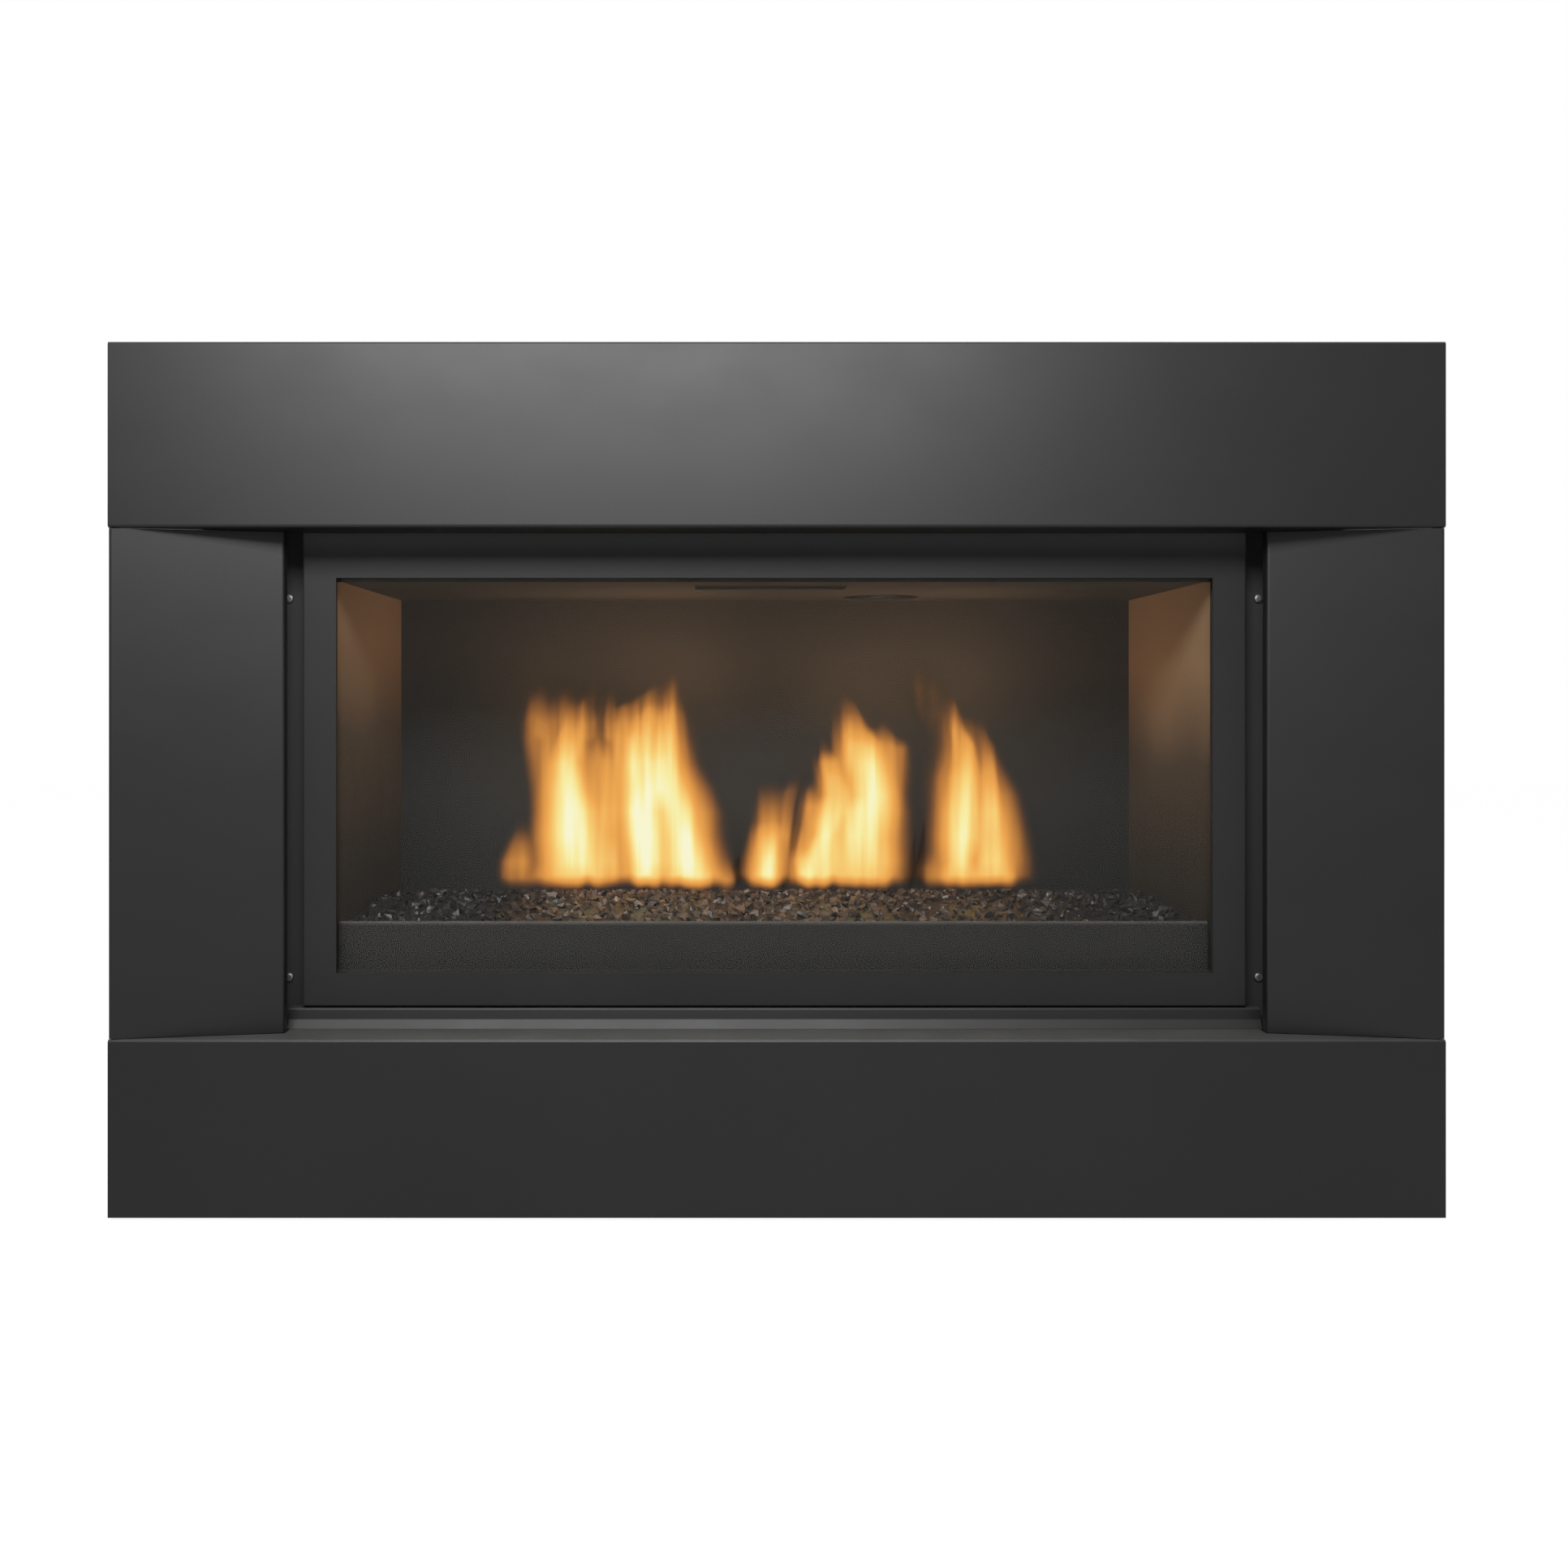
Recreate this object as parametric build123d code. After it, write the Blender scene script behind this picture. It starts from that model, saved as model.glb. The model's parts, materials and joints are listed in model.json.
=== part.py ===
"""Linear gas fireplace insert with a four-panel folded steel surround.

Units are millimetres.  X runs to the right, Y from front to back and Z up.  The origin lies on the
floor at the middle of the width and of the depth.  The flat face of the surround looks towards -Y.
Most places are given as a depth behind that face, which the helpers below turn into Y.
"""
from build123d import *
import math
import os

# ---------------------------------------------------------------- driving dimensions: surround
SURROUND_W = 1067.0          # overall width of the four-panel surround
SURROUND_H = 702.0           # overall height, floor to top edge
DEPTH = 400.0                # face of the surround to the back of the casing
PANEL_T = 2.0                # folded sheet of the surround
PANEL_BEND = 2.6             # outside radius of its folds
EDGE_RETURN = 20.0           # how far the outer edges turn back
TOP_PANEL_H = 148.5          # flat panel over the opening
ACCESS_TOP = 145.0           # top of the lower panel, where its ledge starts
ACCESS_FOOT = 3.0            # lower panel to the floor
OPENING_W = 800.0            # between the inner edges of the two sloping side panels
SIDE_RECESS = 26.0           # how far those inner edges lie behind the face
SIDE_RETURN = 10.0           # inner edge of a side panel, turned back
REVEAL_D = 42.0              # depth of the ledge below
SOFFIT_D = 38.0              # depth of the soffit above, clear of the tilting glass frame
PANEL_GAP = 0.5              # between two surround panels
STOP_T = 3.0                 # strips behind a side panel that stop light at its two joints
STOP_CLEAR = 1.2             # lower strip's free end behind the panel's back face
STOP_W = 12.0                # height of a strip
STOP_LAP = 5.0               # how far the lower one hangs behind the lower panel's edge
BRACKET_L = 40.0             # length of a surround bracket
BRACKET_TAB = 24.0           # its tab behind the panel
TOP_BRACKET_X = 340.0
TOP_BRACKET_DROP = 44.0      # shelf of the top brackets below the casing top
SIDE_BRACKET_RISE = 60.0     # lower side bracket above the lower panel
SIDE_BRACKET_DROP = 100.0    # foot of the upper side bracket below the top panel

# ---------------------------------------------------------------- driving dimensions: casing
CASING_MARGIN = 57.0         # casing side outside the edge of the opening
CASING_DROP = 62.0           # casing top below the top of the surround
CASING_FRONT = 60.0          # depth at which the casing starts
CASING_T = 2.0
RUNNER_H = 12.0              # skids that carry the insert
RUNNER_W = 40.0
RUNNER_IN = 97.0             # casing side to the middle of a skid
FLANGE_W = 20.0              # outward flange on the casing sides
TOP_FLANGE_H = 24.0          # downward flange at the front of the casing top
BASE_LIP_H = 14.0            # upturned front edge of the base
ANCHOR_IN = 57.0             # casing side to the hearth anchor holes
ANCHOR_FRONT_IN = 30.0       # casing front to the first holes
ANCHOR_BACK_IN = 20.0        # casing back to the rear holes
ANCHOR_R = 4.5

# ---------------------------------------------------------------- driving dimensions: firebox
FRAME_SET = 5.0              # plate that the glass seals against, behind the casing front
FRAME_T = 2.0
FRAME_DROP = 25.0            # lowest edge of that plate below the lower panel's ledge
FRAME_RISE = 7.0             # highest edge above the glass frame
MOUTH_SET = 2.0              # opening in the plate inside that of the glass frame, at the top
MOUTH_SPREAD = 3.5           # the same opening beyond that of the glass frame, each side
MOUTH_SILL = 0.1             # the same at the bottom, where it lies lower
LINER_SET = 1.0              # liner face behind the edge of the opening, each side
LINER_TAPER = 8.0            # how far each side liner leans in towards the back
LINER_T = 3.0
WALL_T = 2.0
BACK_D = 300.0               # visible face of the back liner
FLOOR_DROP = 10.0            # firebox floor below the opening
CEILING_RISE = 1.5           # firebox ceiling above the opening
CORNER_SCREW_OUT = 6.0       # screws beside the glass frame, outside the edge of the opening
CORNER_SCREW_LOW = 5.7       # lower pair, below the bottom of the firebox opening
CORNER_SCREW_HIGH = 14.0     # upper pair, below its top
SILL_OVERLAP = 2.0           # sill beyond the edge of the opening, each side
SILL_RISE = 7.2              # lower half of the sill's riser, above the lower panel's ledge
SILL_LEAN = 4.5              # how far it leans back
SILL_STEP = 9.5              # upper, steeper half of the riser
SILL_STEP_LEAN = 2.0         # how far it leans back
SILL_CLEAR = 0.4             # ledge to sill, and magnet to ledge

# ---------------------------------------------------------------- driving dimensions: glass frame
DOOR_SIDE_GAP = 9.5          # glass frame inside the edge of the opening, each side
DOOR_FOOT_GAP = 10.4         # glass frame above the bend in the sill's riser
DOOR_TOP_LAP = 2.0           # glass frame reaches up behind the top panel
RAIL_W = 27.5
TOP_RAIL_W = 38.0
DOOR_T = 2.0
DOOR_RETURN = 14.0
DOOR_LIP = 3.0               # inner edge of the rails, turned back
GLASS_T = 5.0
GLASS_EDGE = 8.5             # frame edge to glass edge
PANE_CLIP_X = (90.0, 210.0, 340.0)
PANE_CLIP_STEP = 110.0       # between the clips at the sides
TAPE_T = 2.0                 # sealing tape between frame and glass
SEAL_W = 13.0                # rope seal between glass and firebox plate
SEAL_T = 7.7                 # its thickness once pressed
SEAL_GAP = 0.3               # rope seal to the firebox plate
DOOR_PIN_RISE = 6.5          # hook pins that carry the frame, above its top edge
DOOR_HOOK_X = 300.0
HOOK_T = 4.0
HOOK_R = 7.0
TAB_X = 262.0                # tongues that slide into the spring clips
TAB_W = 24.0
TAB_T = 2.0
TAB_REACH = 21.0             # how far they pass behind the firebox plate
TAB_RISE = 3.4               # tongue above the frame's lower edge
CATCH_FOOT = 14.0            # foot of a spring clip, below its lower leaf

# ---------------------------------------------------------------- driving dimensions: burner
TRAY_END_GAP = 1.0           # tray to side liner, whose slope the tray's ends follow
TRAY_FRONT_GAP = 4.0         # tray to firebox plate
TRAY_BACK_GAP = 10.0         # tray to back liner
TRAY_H = 46.5                # firebox floor to the rim of the tray
TRAY_FLOOR_RISE = 22.0       # firebox floor to the upper face of the tray floor
TRAY_T = 2.0
LIP_R = 3.4                  # rolled front edge
MEDIA_FRONT_RISE = 3.0       # media above the rim: at the front, on the heap, at the back
MEDIA_RISE = 13.0
MEDIA_BACK_RISE = 6.0
MEDIA_SHOULDER = 30.0        # front edge to the first change of slope
MEDIA_CREST_FRONT = 40.0     # flat of the heap, ahead of the burner and behind it
MEDIA_CREST_BACK = 30.0
BURNER_IN = 75.0             # burner to the back of the tray
BURNER_R = 12.0
BURNER_WALL = 1.5
BURNER_END_GAP = 28.0        # burner to the ends of the tray, inside
PORT_R = 1.3
PORT_PITCH = 20.0
VENTURI_R = 11.0
VENTURI_WALL = 1.5
VENTURI_Z = 110.0
VENTURI_MOUTH_X = 75.0
VENTURI_BEND = 25.0
ORIFICE_HEX = 12.0           # length of the orifice holder's hexagon
ORIFICE_L = 30.0             # and of all that stands out of the venturi
JET_R = 1.0
SPOUT_DROP = 12.0            # joint of venturi and burner spout, below the tray floor
SHUTTER_X0 = 55.0
SHUTTER_X1 = 69.0
SHUTTER_WALL = 2.0
SHUTTER_LEVER = 14.0         # lever of the air shutter, beyond its sleeve
PILOT_X = -40.0
PILOT_IN = 28.0              # pilot to the back of the tray
PILOT_H = 32.0               # tray floor to the top of the pilot
ELECTRODE_STEP = 18.0        # spark electrode, to the left of the pilot hood
ELECTRODE_R = 1.2
INSULATOR_R = 4.0
SENSOR_STEP = 16.0           # flame sensor, to the right of the hood
SENSOR_R = 3.5
HOOD_R = 7.0
HOOD_WALL = 2.0
PILOT_PLATE_T = 2.0
PILOT_PLATE_D = 10.0         # half its depth
PILOT_PLATE_END = 5.0        # plate beyond the electrode's middle
PILOT_PLATE_EDGE = 3.5       # and beyond the sensor

# ---------------------------------------------------------------- driving dimensions: controls
BRACKET_D = 100.0            # front face of the control plate
BRACKET_LEFT = 25.0          # control plate beyond the igniter's middle
BRACKET_RIGHT = 33.0         # and beyond the switch's middle
BRACKET_TOP = 112.0
CONTROL_T = 2.0
VALVE_END = 25.0             # end of the valve beyond a knob's middle
VALVE_L = 58.0               # valve, front to back
VALVE_Z0 = 40.0
VALVE_Z1 = 100.0
LINE_D = 131.0               # gas line, depth
LINE_Z = 52.0                # gas line, height
KNOB_Z = 72.0
CONTROL_X = 175.0            # gas control knob
KNOB_PITCH = 50.0            # from it to the flame height knob
KNOB_R = 15.0
KNOB_L = 18.0
KNOB_STANDOFF = 8.0          # knob to control plate
STEM_R = 3.0
STEM_DEPTH = 12.0            # stem inside the valve
IGNITER_OUT = 35.0           # igniter beyond the valve
IGNITER_Z = 80.0
IGNITER_R = 9.0
IGNITER_L = 33.0
BUTTON_R = 7.0
BUTTON_TRAVEL = 5.0
SWITCH_OUT = 47.0            # switch beyond the valve
SWITCH_CLEAR = 2.0           # switch above the gas line
SWITCH_W = 25.0
SWITCH_H = 34.0
SHUTOFF_IN = 42.0            # shut-off valve to casing side
SHUTOFF_L = 40.0
SHUTOFF_R = 11.0
LEVER_L = 46.0
INLET_OUT = 18.0             # inlet fitting outside the casing
INLET_BORE_R = 7.4
INLET_BORE_L = 16.0
PIPE_R = 6.0
BURNER_PIPE_R = 5.0
PIPE_BEND = 14.0             # bend of the burner pipe, tighter where its run is short
PILOT_PIPE_R = 3.0
LEAD_R = 1.5
POWER_LEAD_R = 2.5
GLAND_AHEAD = 20.0           # cord gland ahead of the blower
GLAND_Z = 70.0
GLAND_R = 11.0
GLAND_BORE_R = 4.0

# ---------------------------------------------------------------- driving dimensions: blower, vents
BLOWER_GAP = 20.0            # blower motor to the casing back
BLOWER_Z = 66.0
ROTOR_R = 27.0
ROTOR_HALF = 180.0
BLADES = 18
BLADE_T = 1.0
BLADE_DEPTH = 9.0
SCROLL_R = 33.0
SCROLL_T = 2.0
BLOWER_TOP = 112.0
BLOWER_FOOT = 16.0           # foot of an end plate
AXLE_R = 3.0
MOTOR_R = 28.0
MOTOR_L = 56.0
SADDLE = 18.0                # motor saddle: half its depth, and its top below the axle
COLLAR_R = 38.0              # outside radius of a 76 mm vent collar
COLLAR_WALL = 1.5
COLLAR_H = 50.0              # collar above the casing
COLLAR_FLANGE = 14.0
EXHAUST_X = 110.0
INTAKE_X = -110.0
DUCT_RISE = 43.0             # firebox ceiling to the flat duct
DUCT_H = 40.0
DUCT_HALF = 42.0
DUCT_FOOT_RISE = 20.0        # firebox floor to the foot of the duct
FLAP_W = 150.0
FLAP_IN = 45.0               # firebox plate to the flap
FLAP_L = 60.0                # flap, front to back
FLAP_T = 2.0
FLAP_OVERLAP = 8.0
FLAP_PIN_R = 2.0

# ---------------------------------------------------------------- clearances shared by all fits
RUN = 0.06                   # radial running clearance of a pin or shaft
FACE_GAP = 0.3               # between faces of two bodies that rest on each other
PIN_R = 3.0                  # the four identical hinge and hook pins
PIN_HEAD_R = 4.5
PIN_HEAD_T = 2.0
SIDE_PLAY = 1.0              # sideways, between a hinge ear and its bracket
ACCESS_PIN_D = 9.0
ACCESS_PIN_Z = 11.0
ACCESS_EAR_IN = 28.5         # casing side to the middle of a hinge ear on the lower panel
EAR_T = 3.0
SCREW_R = 2.0                # shank of the sheet-metal screws
SCREW_HEAD_R = 4.0
SCREW_HEAD_H = 2.4
SCREW_L = 7.0
CORNER_HEAD_R = 3.8

# ---------------------------------------------------------------- sizes that follow
FACE_Y = -DEPTH / 2
HALF_W = SURROUND_W / 2
HALF_OPEN = OPENING_W / 2
TOP_PANEL_Z0 = SURROUND_H - TOP_PANEL_H
HALF_CASING = HALF_OPEN + CASING_MARGIN
CASING_INNER = HALF_CASING - CASING_T
CASING_TOP = SURROUND_H - CASING_DROP
TOP_BRACKET_Z = CASING_TOP - TOP_BRACKET_DROP
BASE_Z = RUNNER_H + CASING_T
RUNNER_X = HALF_CASING - RUNNER_IN
ANCHOR_X = HALF_CASING - ANCHOR_IN
ANCHOR_FRONT_D = CASING_FRONT + ANCHOR_FRONT_IN
ANCHOR_BACK_D = DEPTH - ANCHOR_BACK_IN

FRAME_D = CASING_FRONT + FRAME_SET
FRAME_BACK = FRAME_D + FRAME_T
FRAME_FOOT = ACCESS_TOP - FRAME_DROP
SILL_Z = ACCESS_TOP + SILL_RISE
SILL_HALF = HALF_OPEN + SILL_OVERLAP
DOOR_D = FRAME_D - SEAL_GAP - SEAL_T - GLASS_T - TAPE_T - DOOR_T
DOOR_HALF = HALF_OPEN - DOOR_SIDE_GAP
DOOR_INNER = DOOR_HALF - RAIL_W
DOOR_Z0 = SILL_Z + DOOR_FOOT_GAP
DOOR_Z1 = TOP_PANEL_Z0 + DOOR_TOP_LAP
DOOR_PIN_D = DOOR_D + HOOK_R
DOOR_PIN_Z = DOOR_Z1 + DOOR_PIN_RISE
FRAME_TOP = DOOR_Z1 + FRAME_RISE
TAB_D1 = FRAME_BACK + TAB_REACH
TAB_Z = DOOR_Z0 + TAB_RISE

HALF_MOUTH = DOOR_INNER + MOUTH_SPREAD
MOUTH_Z0 = DOOR_Z0 + RAIL_W - MOUTH_SILL
MOUTH_Z1 = DOOR_Z1 - TOP_RAIL_W - MOUTH_SET
CORNER_SCREW_X = HALF_OPEN + CORNER_SCREW_OUT
CORNER_SCREW_Z0 = MOUTH_Z0 - CORNER_SCREW_LOW
CORNER_SCREW_Z1 = MOUTH_Z1 - CORNER_SCREW_HIGH
LINER_X = HALF_MOUTH + LINER_SET
LINER_BACK_X = LINER_X - LINER_TAPER
WALL_X = LINER_X + LINER_T
SHELL_BACK_D = BACK_D + LINER_T + WALL_T
FLOOR_Z = MOUTH_Z0 - FLOOR_DROP
CEILING_Z = MOUTH_Z1 + CEILING_RISE
FLAP_D0 = FRAME_BACK + FLAP_IN
FLAP_D1 = FLAP_D0 + FLAP_L

TRAY_HALF = LINER_BACK_X - TRAY_END_GAP
TRAY_D0 = FRAME_BACK + TRAY_FRONT_GAP
TRAY_D1 = BACK_D - TRAY_BACK_GAP
TRAY_TOP = FLOOR_Z + TRAY_H
TRAY_FLOOR_Z = FLOOR_Z + TRAY_FLOOR_RISE
BURNER_D = TRAY_D1 - BURNER_IN
BURNER_HALF = TRAY_HALF - TRAY_T - BURNER_END_GAP
SPOUT_Z = TRAY_FLOOR_Z - SPOUT_DROP
PILOT_D = TRAY_D1 - PILOT_IN
PILOT_TOP = TRAY_FLOOR_Z + PILOT_H

KNOB_X = (CONTROL_X, CONTROL_X + KNOB_PITCH)
VALVE_X0 = KNOB_X[0] - VALVE_END
VALVE_X1 = KNOB_X[1] + VALVE_END
VALVE_D0 = BRACKET_D + CONTROL_T
VALVE_D1 = VALVE_D0 + VALVE_L
IGNITER_X = VALVE_X0 - IGNITER_OUT
SWITCH_X = VALVE_X1 + SWITCH_OUT
SWITCH_Z = LINE_Z + PIPE_R + SWITCH_CLEAR + SWITCH_H / 2
BRACKET_X0 = IGNITER_X - BRACKET_LEFT
BRACKET_X1 = SWITCH_X + BRACKET_RIGHT
SHUTOFF_X1 = HALF_CASING - SHUTOFF_IN
SHUTOFF_X0 = SHUTOFF_X1 - SHUTOFF_L

BLOWER_D = DEPTH - CASING_T - BLOWER_GAP - MOTOR_R
GLAND_D = BLOWER_D - GLAND_AHEAD
COLLAR_D = BACK_D - COLLAR_R
COLLAR_TOP = CASING_TOP + COLLAR_H
DUCT_Z0 = CEILING_Z + DUCT_RISE
DUCT_Z1 = DUCT_Z0 + DUCT_H
DUCT_FOOT = FLOOR_Z + DUCT_FOOT_RISE
EAR_X0 = HALF_CASING - ACCESS_EAR_IN - EAR_T / 2
EAR_X1 = EAR_X0 + EAR_T
HINGE_PLATE_X = EAR_X1 + SIDE_PLAY


# ---------------------------------------------------------------- helpers
def span(x0, x1, d0, d1, z0, z1):
    """Box between two corners, with d the depth behind the face."""
    middle = Pos((x0 + x1) / 2, FACE_Y + (d0 + d1) / 2, (z0 + z1) / 2)
    return middle * Box(x1 - x0, d1 - d0, z1 - z0)


def rod_x(radius, x0, x1, d, z):
    """Cylinder along X."""
    return Pos((x0 + x1) / 2, FACE_Y + d, z) * Rot(0, 90, 0) * Cylinder(radius, x1 - x0)


def rod_y(radius, d0, d1, x, z):
    """Cylinder along Y."""
    return Pos(x, FACE_Y + (d0 + d1) / 2, z) * Rot(90, 0, 0) * Cylinder(radius, d1 - d0)


def rod_z(radius, z0, z1, x, d):
    """Cylinder along Z."""
    return Pos(x, FACE_Y + d, (z0 + z1) / 2) * Cylinder(radius, z1 - z0)


def profile_x(points, x0, x1):
    """Closed outline of (depth, z) points, extruded along X."""
    outline = Polyline(*[(FACE_Y + d, z) for d, z in points], close=True)
    return extrude(Plane.YZ.offset(x0) * make_face(outline), x1 - x0)


def profile_z(points, z0, z1):
    """Closed outline of (x, depth) points, extruded upwards."""
    outline = Polyline(*[(x, FACE_Y + d) for x, d in points], close=True)
    return extrude(Plane.XY.offset(z0) * make_face(outline), z1 - z0)


def folded_sheet(path, thickness, bend, side):
    """Closed section of a folded sheet, from the path of one of its faces."""
    line = Wire(FilletPolyline(*path, radius=bend).edges())
    return Face(line.offset_2d(thickness, side=side, closed=True))


def folded_x(points, thickness, bend, x0, x1, side=Side.LEFT):
    """Folded sheet that runs along X, from a path of (depth, z) points."""
    section = folded_sheet([(FACE_Y + d, z) for d, z in points], thickness, bend, side)
    return extrude(Plane.YZ.offset(x0) * section, x1 - x0, dir=(1, 0, 0))


def folded_z(points, thickness, bend, z0, z1, side=Side.LEFT):
    """Folded sheet that runs upwards, from a path of (x, depth) points."""
    section = folded_sheet([(x, FACE_Y + d) for x, d in points], thickness, bend, side)
    return extrude(Plane.XY.offset(z0) * section, z1 - z0, dir=(0, 0, 1))


def mirrored(shape):
    """The same shape on the other side of the middle."""
    return mirror(shape, Plane.YZ)


def both_sides(shape):
    """A right-hand piece and its left-hand twin, as separate solids."""
    return Compound(children=[*shape.solids(), *mirrored(shape).solids()])


def group(shapes):
    """Separate solids that share one node."""
    return Compound(children=[solid for shape in shapes for solid in shape.solids()])


def tube(points, radius, corner, bore=0.0):
    """Round bar or pipe along straight runs joined by tangent arcs."""
    route = [(x, FACE_Y + d, z) for x, d, z in points]
    path = FilletPolyline(*route, radius=corner) if len(route) > 2 else Line(*route)
    start = Plane(origin=path @ 0, z_dir=path % 0)
    body = sweep(start * Circle(radius), path)
    if bore:
        body -= sweep(start * Circle(bore), path)
    return body


def domed_screw(x, z, seat, head_r=SCREW_HEAD_R):
    """Pan-head screw that looks forward, its head resting at the depth of its seat."""
    head = rod_y(head_r, seat - SCREW_HEAD_H, seat, x, z)
    rim = head.faces().sort_by(Axis.Y)[0].edges()
    return fillet(rim, SCREW_HEAD_H * 0.8) + rod_y(SCREW_R, seat, seat + SCREW_L, x, z)


# ---------------------------------------------------------------- surround
def side_face_depth(x):
    """Depth of a sloping side panel's front face at a distance x from the middle."""
    return SIDE_RECESS * (HALF_W - x) / (HALF_W - HALF_OPEN)


def side_back_depth(x):
    """Depth of the same panel's back face."""
    slope = math.atan2(SIDE_RECESS, HALF_W - HALF_OPEN)
    return side_face_depth(x) + PANEL_T / math.cos(slope)


def surround_top_panel():
    """Flat panel over the opening, with its soffit and turned edges."""
    path = [(EDGE_RETURN, SURROUND_H), (0, SURROUND_H), (0, TOP_PANEL_Z0), (SOFFIT_D, TOP_PANEL_Z0)]
    sheet = folded_x(path, PANEL_T, PANEL_BEND, -HALF_W, HALF_W, Side.LEFT)
    end = span(HALF_W - PANEL_T, HALF_W, PANEL_T, EDGE_RETURN, TOP_PANEL_Z0 + PANEL_T, SURROUND_H - PANEL_T)
    return sheet + end + mirrored(end)


def surround_side_panel():
    """Right-hand panel, which slopes back from its outer edge to the opening."""
    path = [(HALF_W, EDGE_RETURN), (HALF_W, 0), (HALF_OPEN, SIDE_RECESS),
            (HALF_OPEN, SIDE_RECESS + SIDE_RETURN)]
    panel = folded_z(path, PANEL_T, PANEL_BEND, ACCESS_TOP + PANEL_GAP,
                     TOP_PANEL_Z0 - PANEL_GAP, Side.RIGHT)
    low, foot, top = ACCESS_TOP - STOP_LAP, ACCESS_TOP + PANEL_GAP, TOP_PANEL_Z0 - PANEL_GAP
    lower = light_stop(low, foot + 1, STOP_CLEAR) + light_stop(foot, low + STOP_W, 0)
    return panel + lower + light_stop(top - STOP_W, top, 0)


def light_stop(z0, z1, clear):
    """Strip along the back of the right-hand side panel, between two heights."""
    x0, x1 = HALF_OPEN + PANEL_T, HALF_W - PANEL_BEND
    d0, d1 = side_back_depth(x0), side_back_depth(x1)
    return profile_z([(x0, d0 + clear), (x1, d1 + clear), (x1, d1 + STOP_T), (x0, d0 + STOP_T)], z0, z1)


def access_panel():
    """Lower panel with the ledge that its top edge turns back into."""
    path = [(0, ACCESS_FOOT), (0, ACCESS_TOP), (REVEAL_D, ACCESS_TOP)]
    panel = folded_x(path, PANEL_T, PANEL_BEND, -HALF_W, HALF_W, Side.RIGHT)
    x0 = HALF_OPEN - PANEL_GAP
    back = REVEAL_D + PANEL_GAP
    behind_side = [(x0, side_face_depth(x0) - PANEL_GAP), (HALF_W, PANEL_BEND), (HALF_W + 1, PANEL_BEND),
                   (HALF_W + 1, back), (x0, back)]
    cut = profile_z(behind_side, ACCESS_TOP - PANEL_BEND, ACCESS_TOP + 1)
    end = span(HALF_W - PANEL_T, HALF_W, PANEL_T, EDGE_RETURN, ACCESS_FOOT, ACCESS_TOP - PANEL_BEND)
    ear = span(EAR_X0, EAR_X1, PANEL_T, ACCESS_PIN_D, ACCESS_PIN_Z - 6, ACCESS_PIN_Z + 6)
    ear += rod_x(6, EAR_X0, EAR_X1, ACCESS_PIN_D, ACCESS_PIN_Z)
    panel = panel - cut - mirrored(cut) + end + mirrored(end) + ear + mirrored(ear)
    bore = rod_x(PIN_R + RUN, EAR_X0 - 1, EAR_X1 + 1, ACCESS_PIN_D, ACCESS_PIN_Z)
    return panel - bore - mirrored(bore)


def access_hinge_brackets():
    """Arms under the casing base that hold the lower panel's two pins."""
    x0, x1 = HINGE_PLATE_X, HINGE_PLATE_X + EAR_T
    nose = 5.5
    arm = rod_x(nose, x0, x1, ACCESS_PIN_D, ACCESS_PIN_Z)
    arm += span(x0, x1, ACCESS_PIN_D, CASING_FRONT - SIDE_PLAY, ACCESS_PIN_Z - nose, ACCESS_PIN_Z + nose)
    arm += span(x0, x1, CASING_FRONT - 2 * SIDE_PLAY, ANCHOR_FRONT_D, ACCESS_PIN_Z - nose, RUNNER_H)
    arm += span(x0, x1 + RUNNER_H, CASING_FRONT + SIDE_PLAY, ANCHOR_FRONT_D, RUNNER_H - EAR_T, RUNNER_H)
    return both_sides(arm - rod_x(PIN_R, x0 - 1, x1 + 1, ACCESS_PIN_D, ACCESS_PIN_Z))


def headed_pin(x0, x1, d, z):
    """Pin along X with a flat head at its outer end."""
    return rod_x(PIN_R, x0, x1, d, z) + rod_x(PIN_HEAD_R, x1, x1 + PIN_HEAD_T, d, z)


def hinge_pins():
    """Two pins of the lower panel and the two that the glass frame hooks over."""
    access = headed_pin(EAR_X0 - SIDE_PLAY, HINGE_PLATE_X + EAR_T, ACCESS_PIN_D, ACCESS_PIN_Z)
    hook_side = DOOR_HOOK_X + HOOK_T / 2
    door = headed_pin(DOOR_HOOK_X - HOOK_T, hook_side + SIDE_PLAY + EAR_T, DOOR_PIN_D, DOOR_PIN_Z)
    return group([both_sides(access), both_sides(door)])


def bracket_heights():
    """Lower ends of the two brackets behind a side panel."""
    return ACCESS_TOP + SIDE_BRACKET_RISE, TOP_PANEL_Z0 - SIDE_BRACKET_DROP


def surround_brackets():
    """Z-shaped brackets that hang the surround on the casing's front flanges."""
    web_x = HALF_CASING + CASING_T
    tab_x = web_x + BRACKET_TAB
    plan = [(tab_x, side_back_depth(tab_x)), (web_x, side_back_depth(web_x)),
            (web_x, CASING_FRONT), (HALF_CASING + FLANGE_W, CASING_FRONT)]
    pieces = []
    for z in bracket_heights():
        pieces.append(folded_z(plan, PANEL_T, PANEL_BEND, z, z + BRACKET_L, Side.RIGHT))
    rear = CASING_FRONT - PANEL_T
    section = [(PANEL_T, TOP_BRACKET_Z - BRACKET_TAB), (PANEL_T, TOP_BRACKET_Z), (rear, TOP_BRACKET_Z),
               (rear, CASING_TOP)]
    x0 = TOP_BRACKET_X - BRACKET_L / 2
    pieces.append(folded_x(section, PANEL_T, PANEL_BEND, x0, x0 + BRACKET_L, Side.RIGHT))
    return group([both_sides(piece) for piece in pieces]) - surround_screw_holes()


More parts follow.
